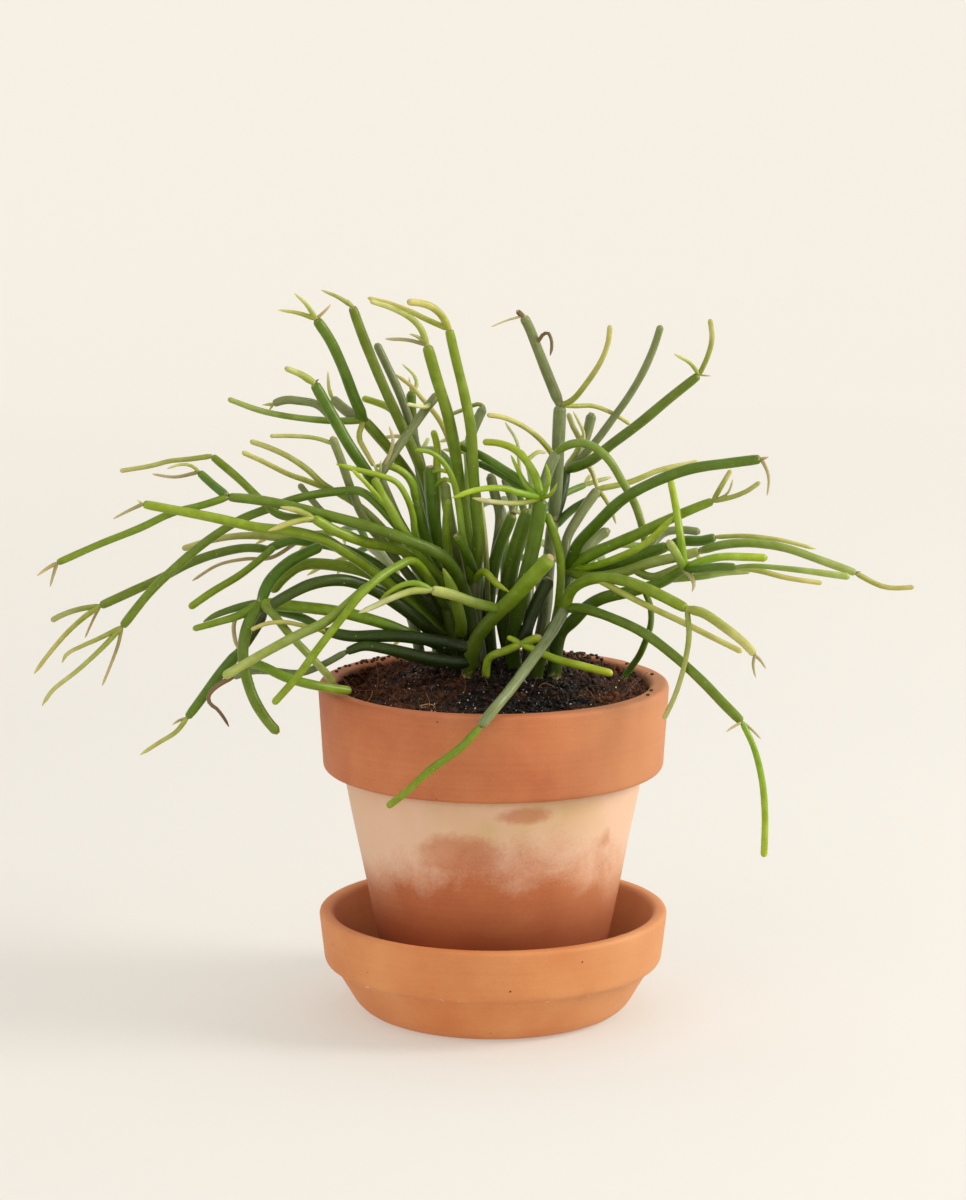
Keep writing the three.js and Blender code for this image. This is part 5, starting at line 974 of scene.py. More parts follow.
def sheet_places(path):
    """Where a path is drawn on the elevation sheet, in mm across and up from the point the eye faces."""
    x, y, z = (path - EYE).T
    sin, cos = math.sin(EYE_PITCH), math.cos(EYE_PITCH)
    return SHEET_REACH * SHEET_MM * np.stack([x, y * sin + z * cos], axis=1) / (y * cos - z * sin)[:, None]


def crossing_runs(a, b):
    """Where two stems pass too close on the sheet: runs of (sample of a, sample of b, depth needed)."""
    same = a.shoot == b.shoot
    need = FACET_ROOM * (a.radii[:, None] + b.radii[None, :]) + (0 if same else STEM_GAP)
    spread = np.linalg.norm(a.drawn[:, None, :] - b.drawn[None, :, :], axis=2)
    close = spread < need
    if same and a.parent:
        close[:FIRST_FREE_SAMPLE] = False
    if same and b.parent:
        close[:, :FIRST_FREE_SAMPLE] = False
    runs = []
    for i, j in zip(*np.nonzero(close)):
        if not runs or i > runs[-1][-1][0] + RUN_BREAK:
            runs.append([])
        runs[-1].append((i, j, math.sqrt(need[i, j] ** 2 - spread[i, j] ** 2)))
    return runs


def bend_clear(stems):
    """Bends stems along the lines of sight, towards the eye or away from it, until none crosses another."""
    start = {}
    for stem in stems:
        start[stem.name] = sum(len(other.path) for other in stems[:len(start)])
    for stem in stems:
        stem.drawn = sheet_places(stem.path)
    lows = np.array([stem.drawn.min(axis=0) for stem in stems]) - 5
    highs = np.array([stem.drawn.max(axis=0) for stem in stems]) + 5
    rows = []
    for index, a in enumerate(stems):
        apart = ((lows[index] > highs) | (highs[index] < lows)).any(axis=1)
        for other in range(index + 1, len(stems)):
            if apart[other]:
                continue
            b = stems[other]
            for run in crossing_runs(a, b):
                side = 1 if sum(a.path[i][1] - b.path[j][1] for i, j, _ in run) >= 0 else -1
                rows += [(start[a.name] + i, start[b.name] + j, depth, side) for i, j, depth in run]
    one, other = (np.array([row[k] for row in rows]) for k in (0, 1))
    depth, side = (np.array([row[k] for row in rows], float) for k in (2, 3))
    y = np.concatenate([stem.path[:, 1] for stem in stems])
    shift = np.zeros(len(y))
    pinned = np.concatenate([(np.arange(len(stem.path)) < ROOTED_SAMPLES) & (stem.parent is None)
                             for stem in stems])
    free = np.maximum(2 - pinned[one].astype(int) - pinned[other].astype(int), 1)
    for _ in range(BEND_ROUNDS):
        short = depth - side * (y[one] + shift[one] - y[other] - shift[other])
        push = np.where(short > 0, side * short / free, 0.0)
        pushes, count = np.zeros(len(y)), np.zeros(len(y))
        np.add.at(pushes, one, push)
        np.add.at(pushes, other, -push)
        np.add.at(count, one, short > 0)
        np.add.at(count, other, short > 0)
        moved = np.where(pinned, 0.0, shift + pushes / np.maximum(count, 1))
        for stem in stems:
            low = start[stem.name]
            part = moved[low:low + len(stem.path)]
            if stem.parent:
                part[0] = shift[start[stem.parent.name] + stem.sample]
            settled = (np.r_[part[0], part[:-1]] + 2 * part + np.r_[part[1:], part[-1]]) / 4
            keep = pinned[low:low + len(part)].copy()
            keep[0] = True
            shift[low:low + len(part)] = np.where(keep, part, settled)
    for stem in stems:
        low = start[stem.name]
        range_y = stem.path[:, 1] - EYE[1]
        stem.path = EYE + (stem.path - EYE) * ((range_y + shift[low:low + len(stem.path)]) / range_y)[:, None]


# ---- how a stem is shaped and coloured


def end_share(kind, left, radius):
    """What is left of a stem's radius this many mm before its end: a point tapers over 4.2 radii, a scar's
    edge draws in, a blunt end is a dome, and a joint's end narrows a little to a flatter dome."""
    if kind == "point":
        return max(min(left / (4.2 * radius), 1.0), 0.0) ** 0.62 * 0.95 + 0.05
    if kind == "scar":
        return 1.0 - 0.48 * smoothstep(0.8 * radius - left, 0.0, 0.8 * radius)
    dome, narrowing = 1.15 * radius, 1.0
    if kind == "joint":
        dome, narrowing = 0.75 * radius, 1 - 0.09 * smoothstep(2.2 * radius - left, 0.0, 1.7 * radius)
    if left >= dome:
        return narrowing
    return narrowing * max(math.sqrt(max(1 - (1 - left / dome) ** 2, 0.0)), 0.06)


def stem_rings(stem):
    """Distances along a stem where it needs a ring, and its length."""
    length = along_curve(stem.path, spacing=RING_STEP)[1]
    rings = set(np.linspace(0, length, max(3, round(length / RING_STEP)) + 1))
    rings |= {share * stem.radii[0] for share in START_RINGS}
    rings |= {length - share * stem.radii[-1] for share in END_RINGS[stem.kind]}
    kept = []
    for place in sorted(place for place in rings if 0 <= place <= length):
        if not kept or place - kept[-1] > LEAST_RING_STEP:
            kept.append(place)
    return np.array(kept), length


def stem_width(stem, distance, length, phase):
    """A stem's even radius in mm at a distance along it, and the one with its neck, swellings and end."""
    radius = stem.widths[0] / 2 + (stem.widths[1] - stem.widths[0]) / 2 * (distance / length)
    width = radius * end_share(stem.kind, length - distance, radius)
    width *= 1 + 0.022 * math.sin(distance / 5.5 + phase) + 0.012 * math.sin(distance / 2.1 + 2 * phase)
    if stem.parent:
        width *= 0.78 + 0.22 * smoothstep(distance, 0.25 * radius, 1.9 * radius)
    return radius, width


def cork_share(stem, place, distance, left, radius):
    """How corky a stem is: a collar where it leaves its parent or the soil, and its end."""
    if stem.parent:
        cork = 0.42 * (1 - smoothstep(distance, 0.6 * radius, 1.3 * radius))
    else:
        cork = 0.5 * (1 - smoothstep(place[2] - soil_z(place[0], place[1]), 0.0, 6.0))
    reach, most = END_CORK[stem.kind]
    return max(cork, most * (1 - smoothstep(left, 0.4 * reach * radius, reach * radius * 1.5)))


def stem_points(stem, draw):
    """A stem's points, each with its radius in mm, distance along it, colour, cork share and age."""
    rings, length = stem_rings(stem)
    places = along_curve(stem.path, rings)[0]
    body, tip = (linear(colour) for colour in SKINS[stem.tone])
    vary = 1 + draw.uniform(-0.13, 0.13)
    yellow = draw.uniform(-0.07, 0.07)
    body, tip = ([c * vary * (1 + yellow * w) for c, w in zip(colour, (1, 0, -1))] for colour in (body, tip))
    phase, offset = draw.uniform(0, 6.28), draw.uniform(0, 500)
    crown = (*SOIL_CROWN, soil_z(*SOIL_CROWN))
    rows = []
    for place, distance in zip(places, rings):
        radius, width = stem_width(stem, distance, length, phase)
        cork = cork_share(stem, place, distance, length - distance, radius)
        lit = smoothstep(math.dist(place, crown), CROWN_SHADE_START, CROWN_SHADE_END)
        lit = 1.0 if stem.tone in UNSHADED else CROWN_SHADE + (1 - CROWN_SHADE) * lit
        ripe = smoothstep(distance / length, 0.15, 1.0)
        colour = [(low + (high - low) * ripe) * lit for low, high in zip(body, tip)]
        rows.append((place, width, distance + offset, colour, cork, AGES.get(stem.tone, LEAST_AGE)))
    return rows


def shoot_piece(stems, tree, materials):
    """All stems of one shoot: their middle lines, from which the tree makes their skins and areoles."""
    draw = random.Random(stems[0].shoot)
    rows, edges = [], []
    for stem in stems:
        points = stem_points(stem, draw)
        edges += [(len(rows) + k, len(rows) + k + 1) for k in range(len(points) - 1)]
        rows += points
    root = stems[0]
    outline = mesh_object("grown_" + root.shoot, [row[0] for row in rows], [], edges)
    store_values(outline, "thickness", [row[1] * MM for row in rows])
    for name, column in (("along", 2), ("cork", 4), ("age", 5)):
        store_values(outline, name, [row[column] for row in rows])
    skin = outline.data.attributes.new("skin", "FLOAT_VECTOR", "POINT")
    skin.data.foreach_set("vector", [channel for row in rows for channel in row[3]])
    shoot = run_nodes(outline, tree, materials)
    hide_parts("shoot_" + root.shoot)
    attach(shoot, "root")


def stem_tree():
    """Geometry Nodes: a round skin of even sides along each line, with areoles that wind round it."""
    tree, given, result = node_tree("jointed_stems", {
        "Sides": "Int", "Areole Spacing": "Float", "Areole Size": "Float",
        "Skin": "Material", "Wool": "Material"})
    lines = add_node(tree, "MeshToCurve", {"Mesh": given["Geometry"]})
    thickness = add_node(tree, "InputNamedAttribute", {"Name": "thickness"})
    ring = add_node(tree, "CurvePrimitiveCircle", {"Resolution": given["Sides"], "Radius": 1.0})
    place_on_ring = add_node(tree, "InputPosition")
    girth = add_node(tree, "StoreNamedAttribute", {
        "Geometry": ring, "Name": "girth", "Value": place_on_ring}, data_type="FLOAT_VECTOR")
    skins = add_node(tree, "CurveToMesh", {
        "Curve": lines, "Profile Curve": girth, "Scale": thickness, "Fill Caps": True})
    skins = add_node(tree, "SetShadeSmooth", {"Geometry": skins})

    # flat pads of wool, each turned to face out of the skin
    spots = add_node(tree, "CurveToPoints", {
        "Curve": lines, "Length": given["Areole Spacing"]}, mode="LENGTH")
    turn = add_node(tree, "Math", {0: add_node(tree, "InputIndex"), 1: GOLDEN_TURN}, operation="MULTIPLY")
    outward = add_node(tree, "VectorRotate", {
        "Vector": spots.outputs["Normal"], "Axis": spots.outputs["Tangent"], "Angle": turn},
        rotation_type="AXIS_ANGLE")
    onto_skin = add_node(tree, "VectorMath", {0: outward, "Scale": thickness}, operation="SCALE")
    placed = add_node(tree, "SetPosition", {"Geometry": spots, "Offset": onto_skin})
    facing = add_node(tree, "AlignRotationToVector", {"Vector": outward}, axis="Z")
    pad = add_node(tree, "MeshUVSphere", {"Segments": 6, "Rings": 4, "Radius": 1.0})
    pad = add_node(tree, "Transform", {"Geometry": pad, "Scale": (1.0, 1.0, 0.5)})
    pad = add_node(tree, "StoreNamedAttribute", {"Geometry": pad, "Name": "wool", "Value": 1.0})
    size = add_node(tree, "RandomValue", {"Min": 0.6, "Max": 1.25, "Seed": AREOLE_SEED})
    size = add_node(tree, "Math", {0: size, 1: given["Areole Size"]}, operation="MULTIPLY")
    thick_enough = add_node(tree, "Compare", {
        0: thickness, 1: AREOLE_LEAST_RADIUS * MM}, operation="GREATER_THAN")
    pads = add_node(tree, "InstanceOnPoints", {
        "Points": placed, "Selection": thick_enough, "Instance": pad, "Rotation": facing, "Scale": size})

    both = add_node(tree, "JoinGeometry", {"Geometry": [skins, pads]})
    real = add_node(tree, "RealizeInstances", {"Geometry": both})
    green = add_node(tree, "SetMaterial", {"Geometry": real, "Material": given["Skin"]})
    wool = add_node(tree, "InputNamedAttribute", {"Name": "wool"})
    woolly = add_node(tree, "Compare", {0: wool, 1: 0.5}, operation="GREATER_THAN")
    pale = add_node(tree, "SetMaterial", {"Geometry": green, "Selection": woolly, "Material": given["Wool"]})
    tree.links.new(pale.outputs[0], result)
    return tree


def stem_skin():
    """Living stem skin under a waxy cuticle: half gloss and a little see-through, with fine lengthwise lines
    that show more with age, pale pores, and rough tan cork at the joints and scars."""
    material, tree, shader = new_material("waxy_green_stem_skin", 0.42, 1.45)
    skin, girth, along, cork, age = (
        add_node(tree, "Attribute", attribute_name=name).outputs[socket] for name, socket in
        (("skin", "Color"), ("girth", "Vector"), ("along", "Fac"), ("cork", "Fac"), ("age", "Fac")))
    across = add_node(tree, "VectorMath", {0: girth, "Scale": STEM_PATTERN_RADIUS}, operation="SCALE")
    across = add_node(tree, "SeparateXYZ", {"Vector": across}).outputs
    surface = add_node(tree, "CombineXYZ", {"X": across["X"], "Y": across["Y"], "Z": along})
    slow = add_node(tree, "Math", {0: along, 1: 0.07}, operation="MULTIPLY")
    lengthwise = add_node(tree, "CombineXYZ", {"X": across["X"], "Y": across["Y"], "Z": slow})
    # fine lines 0.45 mm apart run along the stem, stronger on old joints
    lines = add_node(tree, "TexNoise", {"Vector": lengthwise, "Scale": 1 / 0.45, "Detail": 3.0})
    lines = add_node(tree, "MapRange", {"Value": lines, "From Min": 0.35, "From Max": 0.68})
    # lighter and deeper clouds 4 mm across, and pores 0.9 mm apart
    clouds = add_node(tree, "TexNoise", {"Vector": surface, "Scale": 1 / 4.0, "Detail": 5.0})
    clouds = add_node(tree, "MapRange", {"Value": clouds, "From Min": 0.32, "From Max": 0.7})
    pores = add_node(tree, "TexVoronoi", {"Vector": surface, "Scale": 1 / 0.9})
    pores = add_node(tree, "MapRange", {
        "Value": pores.outputs["Distance"], "From Min": 0.1, "From Max": 0.24, "To Min": 0.12, "To Max": 0.0})
    deep = add_node(tree, "HueSaturation", {"Saturation": 1.12, "Value": 0.84, "Color": skin})
    light = add_node(tree, "HueSaturation", {"Saturation": 1.0, "Value": 1.15, "Color": skin})
    striped = add_node(tree, "Math", {0: lines, 1: age}, operation="MULTIPLY")
    # cork grows in ragged patches, 1.5 mm across
    ragged = add_node(tree, "TexNoise", {
        "Vector": surface, "Scale": 1 / 1.5, "Detail": 5.0, "Roughness": 0.65})
    corky = add_node(tree, "Math", {0: ragged, 1: cork}, operation="ADD")
    corky = add_node(tree, "MapRange", {"Value": corky, "From Min": 0.88, "From Max": 1.12})
    bark = add_node(tree, "Mix", {"Factor": lines, "A": "#8c7a50", "B": "#c9ba8a"}, data_type="RGBA")
    colour = deep
    for share, over in ((clouds, light), (striped, "#939b74"), (pores, "#adb97c"), (corky, bark)):
        colour = add_node(tree, "Mix", {"Factor": share, "A": colour, "B": over}, data_type="RGBA")
    rough = add_node(tree, "MapRange", {"Value": corky, "To Min": 0.35, "To Max": 0.85})
    height = add_node(tree, "Math", {0: lines, 1: ragged}, operation="ADD")
    bump = add_node(tree, "Bump", {"Strength": 0.3, "Distance": 0.08 * MM, "Height": height})
    fill_sockets(tree, shader, {
        "Base Color": colour, "Roughness": rough, "Normal": bump, "Specular IOR Level": 0.38,
        "Subsurface Weight": 0.1, "Subsurface Radius": (0.8, 1.0, 0.1), "Subsurface Scale": 1.2 * MM})
    return material


def areole_wool():
    """Felt of very short pale hairs: matt and dusty, in tufts 0.5 mm across."""
    material, tree, shader = new_material("pale_areole_felt", 0.95)
    where = add_node(tree, "TexCoord").outputs["Object"]
    tufts = add_node(tree, "TexNoise", {"Vector": where, "Scale": per_mm(0.5), "Detail": 2.0})
    colour = add_node(tree, "Mix", {"Factor": tufts, "A": "#868a55", "B": "#c2c593"}, data_type="RGBA")
    fill_sockets(tree, shader, {"Base Color": colour})
    return material


def grow_cactus():
    stems = routed_stems() + back_stems()
    bend_clear(stems)
    tree = stem_tree()
    inputs = {"Sides": STEM_SIDES, "Areole Spacing": AREOLE_SPACING * MM, "Areole Size": AREOLE_SIZE * MM,
              "Skin": stem_skin(), "Wool": areole_wool()}
    for root in stems:
        if root.parent is None:
            shoot_piece([stem for stem in stems if stem.shoot == root.shoot], tree, inputs)


# ---- potting soil


def pot_inside(z):
    """The radius of the pot's inner wall at this height."""
    share = (z - POT_FLOOR_Z) / (POT_TOP_Z - POT_FLOOR_Z)
    return POT_INNER_FOOT_RADIUS + (POT_MOUTH_RADIUS - POT_INNER_FOOT_RADIUS) * share


def soil_relief(x, y):
    """Clods and hollows on top of the soil's slow shape, in mm."""
    clods = noise.fractal(Vector((x / 7, y / 7, 3.1)), 0.9, 2.1, 5) * 1.5
    lumps = abs(noise.noise(Vector((x / 2.6, y / 2.6, 9.7)))) * 1.6
    turn = math.degrees(math.atan2(y, x))
    heap = sum(math.exp(-((turn - middle) / spread) ** 2) for middle, spread in SOIL_HEAPS)
    return clods + lumps + SOIL_HEAP * heap * smoothstep(math.hypot(x, y), 40.0, 57.0)


def soil_outline():
    """The soil's closed body: a fine lumpy top, a side a clearance inside the pot, and a plain foot."""
    side = pot_inside(SOIL_RIM_Z) - CLEARANCE
    rings = [("top", side * ring / SOIL_RINGS) for ring in range(1, SOIL_RINGS + 1)]
    rings += [("side", z) for z in SOIL_SIDE_RINGS] + [("foot", SOIL_FOOT_Z)]
    verts, faces, top = [(0, 0, soil_z(0, 0) + soil_relief(0, 0))], [], [1.0]
    for kind, value in rings:
        radius = {"top": value, "side": pot_inside(value) - CLEARANCE, "foot": SOIL_FOOT_RADIUS}[kind]
        for spoke in range(SOIL_SPOKES):
            angle = 2 * math.pi * spoke / SOIL_SPOKES
            x, y = radius * math.cos(angle), radius * math.sin(angle)
            verts.append((x, y, soil_z(x, y) + soil_relief(x, y) if kind == "top" else value))
            top.append(1.0 if kind == "top" else 0.0)
    last = len(rings) - 1
    for spoke in range(SOIL_SPOKES):
        following = (spoke + 1) % SOIL_SPOKES
        faces.append((0, 1 + spoke, 1 + following))
        for ring in range(last):
            inner, outer = 1 + ring * SOIL_SPOKES, 1 + (ring + 1) * SOIL_SPOKES
            faces.append((inner + spoke, outer + spoke, outer + following, inner + following))
    faces.append([1 + last * SOIL_SPOKES + spoke for spoke in reversed(range(SOIL_SPOKES))])
    return verts, faces, top


def stray_places():
    """Places of crumbs on the lip, mostly where a heap stands against it, and on the inner wall, in mm."""
    draw = random.Random(SOIL_SEED)
    places = []
    for _ in range(STRAY_CRUMBS):
        angle = draw.choice([draw.gauss(63, 7), draw.gauss(141, 7), draw.gauss(63, 12), draw.uniform(0, 360)])
        radius = draw.uniform(POT_MOUTH_RADIUS + 0.2, POT_LIP_RADIUS - 1.8)
        turn = math.radians(angle)
        places.append((radius * math.cos(turn), radius * math.sin(turn), POT_TOP_Z + 0.1))
    for _ in range(WALL_CRUMBS):
        turn = math.radians(draw.choice([draw.gauss(168, 16), draw.gauss(150, 12), draw.uniform(0, 360)]))
        z = draw.uniform(WALL_CRUMBS_FROM, POT_TOP_Z - 1.5)
        radius = pot_inside(z) - 0.25
        places.append((radius * math.cos(turn), radius * math.sin(turn), z))
    return places


def root_fibre_lines():
    """The few long root fibres that arch out of the soil, as smooth middle lines in mm."""
    routes = (np.array([sight(*place) for place in route]) for route in ROOT_FIBRES)
    return [along_curve(route, spacing=1.5)[0] for route in routes]


def crumb(tree, ball, seed, lumpiness):
    """One crumb shape a unit across, from a plain shape of few faces that is pushed in and out at random."""
    where = add_node(tree, "VectorMath", {
        0: add_node(tree, "InputPosition"), 1: (seed * 3.7, seed * 1.3, 0.0)}, operation="ADD")
    push = add_node(tree, "TexNoise", {"Vector": where, "Scale": 2.4, "Detail": 2.0})
    push = add_node(tree, "VectorMath", {0: push.outputs["Color"], 1: (0.5, 0.5, 0.5)}, operation="SUBTRACT")
    push = add_node(tree, "VectorMath", {0: push, "Scale": lumpiness}, operation="SCALE")
    lump = add_node(tree, "SetPosition", {"Geometry": ball, "Offset": push})
    return add_node(tree, "GeometryToInstance", {"Geometry": lump})


def fibre(tree, middle, end, thickness):
    """One short root fibre a unit long: a thin bent thread."""
    line = add_node(tree, "CurveQuadraticBezier", {
        "Resolution": 6, "Start": (0.0, 0.0, -0.05), "Middle": middle, "End": end})
    section = add_node(tree, "CurvePrimitiveCircle", {"Resolution": 3, "Radius": thickness})
    thread = add_node(tree, "CurveToMesh", {"Curve": line, "Profile Curve": section, "Fill Caps": True})
    return add_node(tree, "GeometryToInstance", {"Geometry": thread})


def scatter(tree, places, shapes, smallest, largest, skew, kind, seed):
    """Puts one of the shapes at each place, turned at random, and tags it with its kind and a random shade.
    Sizes lie between smallest and largest, and a higher skew makes more of them small."""
    bag = add_node(tree, "JoinGeometry", {"Geometry": shapes})
    turn = add_node(tree, "RandomValue", {"Max": (6.28, 6.28, 6.28), "Seed": seed}, data_type="FLOAT_VECTOR")
    turn = add_node(tree, "EulerToRotation", {"Euler": turn})
    share = add_node(tree, "RandomValue", {"Min": 0.0, "Max": 1.0, "Seed": seed + 1})
    share = add_node(tree, "Math", {0: share, 1: skew}, operation="POWER")
    size = add_node(tree, "MapRange", {"Value": share, "To Min": smallest, "To Max": largest})
    made = add_node(tree, "InstanceOnPoints", {
        "Points": places, "Instance": bag, "Pick Instance": True, "Rotation": turn, "Scale": size})
    shade = add_node(tree, "RandomValue", {"Min": 0.0, "Max": 1.0, "Seed": seed + 2})
    for name, value in (("shade", shade), ("kind", kind)):
        made = add_node(tree, "StoreNamedAttribute", {
            "Geometry": made, "Name": name, "Value": value}, domain="INSTANCE")
    return made


def strewn_layers(tree, given, stray):
    """What is strewn over the top of the soil: clods, crumbs, fine grit, root fibres and pale specks."""
    upper = add_node(tree, "InputNamedAttribute", {"Name": "top"})
    upper = add_node(tree, "Compare", {0: upper, 1: 0.9}, operation="GREATER_THAN")

    def strewn(density, seed):
        return add_node(tree, "DistributePointsOnFaces", {
            "Mesh": given["Geometry"], "Selection": upper, "Density": density, "Seed": seed})

    fallen = add_node(tree, "MeshToPoints", {"Mesh": given["Geometry"], "Selection": stray, "Radius": 0.001})
    crumbs = add_node(tree, "JoinGeometry", {"Geometry": [strewn(given["Crumb Density"], 11), fallen]})
    # most fibres lie in the left half
    side = add_node(tree, "SeparateXYZ", {"Vector": add_node(tree, "InputPosition")}).outputs["X"]
    left = add_node(tree, "MapRange", {
        "Value": side, "From Min": -12 * MM, "From Max": -42 * MM, "To Min": 0.28, "To Max": 1.0})
    fibrous = add_node(tree, "Math", {0: left, 1: given["Fibre Density"]}, operation="MULTIPLY")
    size = given["Crumb Size"]
    least, medium, largest = (
        add_node(tree, "Math", {0: size, 1: share}, operation="MULTIPLY") for share in (0.18, 0.45, 1.35))
    ball = add_node(tree, "MeshUVSphere", {"Segments": 8, "Rings": 6, "Radius": 0.5})
    small_ball = add_node(tree, "MeshIcoSphere", {"Subdivisions": 1, "Radius": 0.5})
    cube = add_node(tree, "MeshCube", {"Size": (0.75, 0.75, 0.75)})
    clods = [crumb(tree, ball, seed, 0.85) for seed in (6.0, 7.0)]
    lumps = [crumb(tree, small_ball, seed, 0.85) for seed in (1.0, 2.0, 3.0)]
    grains = [crumb(tree, cube, seed, 0.6) for seed in (4.0, 5.0)]
    threads = [fibre(tree, (0.1, 0.4, 0.25), (0.1, 0.9, 0.05), 0.016),
               fibre(tree, (0.3, 0.25, 0.4), (-0.1, 0.75, 0.3), 0.013),
               fibre(tree, (-0.3, 0.4, 0.1), (0.35, 0.85, 0.12), 0.011)]
    return [
        scatter(tree, strewn(given["Clod Density"], 15), clods, medium, largest, 1.5, PEAT, 60),
        scatter(tree, crumbs, lumps, least, size, 2.6, PEAT, 20),
        scatter(tree, strewn(given["Grit Density"], 12), grains, least, medium, 1.6, PEAT, 30),
        scatter(tree, strewn(fibrous, 13), threads, 2.2 * MM, 9.5 * MM, 1.8, FIBRE, 40),
        # pale specks, whose whiteness is partly painted glint
        scatter(tree, strewn(given["Speck Density"], 14), grains, 0.2 * MM, 0.7 * MM, 2.0, SPECK, 50)]


def soil_tree():
    """Geometry Nodes: the soil's body with all that is strewn over it and its few long root fibres."""
    tree, given, result = node_tree("strewn_potting_soil", {
        **{density: "Float" for density in STREWN}, "Crumb Size": "Float",
        "Peat": "Material", "Fibre": "Material", "Speck": "Material"})
    stray = add_node(tree, "InputNamedAttribute", {"Name": "stray"})
    layers = strewn_layers(tree, given, stray)
    thread = add_node(tree, "InputNamedAttribute", {"Name": "thread"})
    lines = add_node(tree, "MeshToCurve", {"Mesh": given["Geometry"], "Selection": thread})
    section = add_node(tree, "CurvePrimitiveCircle", {"Resolution": 5, "Radius": 0.13 * MM})
    long_ones = add_node(tree, "CurveToMesh", {"Curve": lines, "Profile Curve": section, "Fill Caps": True})
    long_ones = add_node(tree, "StoreNamedAttribute", {
        "Geometry": long_ones, "Name": "kind", "Value": FIBRE})
    loose = add_node(tree, "Math", {0: stray, 1: thread}, operation="ADD")
    body = add_node(tree, "DeleteGeometry", {"Geometry": given["Geometry"], "Selection": loose})
    whole = add_node(tree, "JoinGeometry", {"Geometry": [body, *layers, long_ones]})
    real = add_node(tree, "RealizeInstances", {"Geometry": whole})
    real = add_node(tree, "SetShadeSmooth", {"Geometry": real})
    done = add_node(tree, "SetMaterial", {"Geometry": real, "Material": given["Peat"]})
    kind = add_node(tree, "InputNamedAttribute", {"Name": "kind"})
    for tag, finish in ((FIBRE, "Fibre"), (SPECK, "Speck")):
        chosen = add_node(tree, "Compare", {0: kind, 1: tag - 0.5}, operation="GREATER_THAN")
        done = add_node(tree, "SetMaterial", {
            "Geometry": done, "Selection": chosen, "Material": given[finish]})
    tree.links.new(done.outputs[0], result)
    return tree


def peat_soil():
    """Moist peat: near black with red-brown crumbs, matt in the hollows and wet enough to glint on top, and
    drier and dustier towards the left and the right."""
    material, tree, shader = new_material("moist_peat_soil", 0.75)
    where = add_node(tree, "TexCoord").outputs["Object"]
    shade = add_node(tree, "Attribute", attribute_name="shade").outputs["Fac"]
    mould = add_node(tree, "TexNoise", {
        "Vector": where, "Scale": per_mm(2.2), "Detail": 6.0, "Roughness": 0.65})
    patches = add_node(tree, "TexNoise", {"Vector": where, "Scale": per_mm(16), "Detail": 3.0})
    aside = distance_aside(tree, add_node(tree, "SeparateXYZ", {"Vector": where}).outputs["X"], 8)
    dry = add_node(tree, "MapRange", {
        "Value": aside, "From Min": 10 * MM, "From Max": 45 * MM, "To Min": -0.08, "To Max": 0.26})
    dry = add_node(tree, "Math", {0: dry, 1: patches}, operation="ADD")
    dry = add_node(tree, "MapRange", {"Value": dry, "From Min": 0.45, "From Max": 0.8})
    grain = add_node(tree, "Math", {0: mould, 1: shade}, operation="ADD")
    grain = add_node(tree, "MapRange", {"Value": grain, "From Min": 0.35, "From Max": 1.5})
    wet, dusty = (
        add_node(tree, "Mix", {"Factor": grain, "A": low, "B": high}, data_type="RGBA")
        for low, high in (("#060302", "#1c0e07"), ("#301a0e", "#7a4a29")))
    colour = add_node(tree, "Mix", {"Factor": dry, "A": wet, "B": dusty}, data_type="RGBA")
    rough = add_node(tree, "MapRange", {"Value": dry, "To Min": 0.32, "To Max": 0.9})
    fine = add_node(tree, "TexNoise", {"Vector": where, "Scale": per_mm(0.5), "Detail": 3.0})
    bump = add_node(tree, "Bump", {"Strength": 0.8, "Distance": 0.4 * MM, "Height": fine})
    fill_sockets(tree, shader, {
        "Base Color": colour, "Roughness": rough, "Normal": bump, "Specular IOR Level": 0.22})
    return material


def strewn_grain(name, roughness, dark, pale, skew):
    """The finish of strewn grains, each with its own shade; a higher skew makes more of them dark."""
    material, tree, shader = new_material(name, roughness)
    shade = add_node(tree, "Attribute", attribute_name="shade").outputs["Fac"]
    share = add_node(tree, "Math", {0: shade, 1: skew}, operation="POWER")
    colour = add_node(tree, "Mix", {"Factor": share, "A": dark, "B": pale}, data_type="RGBA")
    fill_sockets(tree, shader, {"Base Color": colour})
    return material


def root_fibre():
    """Dead fine roots and coir: dry, matt, straw to red-brown."""
    return strewn_grain("dry_root_fibre", 0.85, "#6b3a20", "#c99a5c", 2.2)


def pale_speck_and_painted_glint():
    """Pale grains of sand and mica in the soil, with a wet glint; their whiteness is partly a painted glint.
    """
    return strewn_grain("pale_grain_and_painted_glint", 0.15, "#8a8078", "#fbf8f2", 1.0)


def soil_piece():
    verts, faces, top = soil_outline()
    strays = stray_places()
    stray = [0.0] * len(verts) + [1.0] * len(strays)
    verts += strays
    edges = []
    for line in root_fibre_lines():
        edges += [(len(verts) + k, len(verts) + k + 1) for k in range(len(line) - 1)]
        verts += [tuple(place) for place in line]
    thread = [0.0] * len(stray) + [1.0] * (len(verts) - len(stray))
    outline = mesh_object("strewn_soil", verts, faces, edges)
    for name, values in (("top", top), ("stray", stray), ("thread", thread)):
        store_values(outline, name, values + [0.0] * (len(verts) - len(values)))
    soil = run_nodes(outline, soil_tree(), {
        **STREWN, "Crumb Size": CRUMB_SIZE * MM,
        "Peat": peat_soil(), "Fibre": root_fibre(), "Speck": pale_speck_and_painted_glint()})
    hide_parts("soil")
    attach(soil, "root")


# ---- the clay's finish


def distance_aside(tree, coordinate, middle_mm):
    """How far a coordinate lies to either side of the middle."""
    aside = add_node(tree, "Math", {0: coordinate, 1: middle_mm * MM}, operation="SUBTRACT")
    return add_node(tree, "Math", {0: aside}, operation="ABSOLUTE")


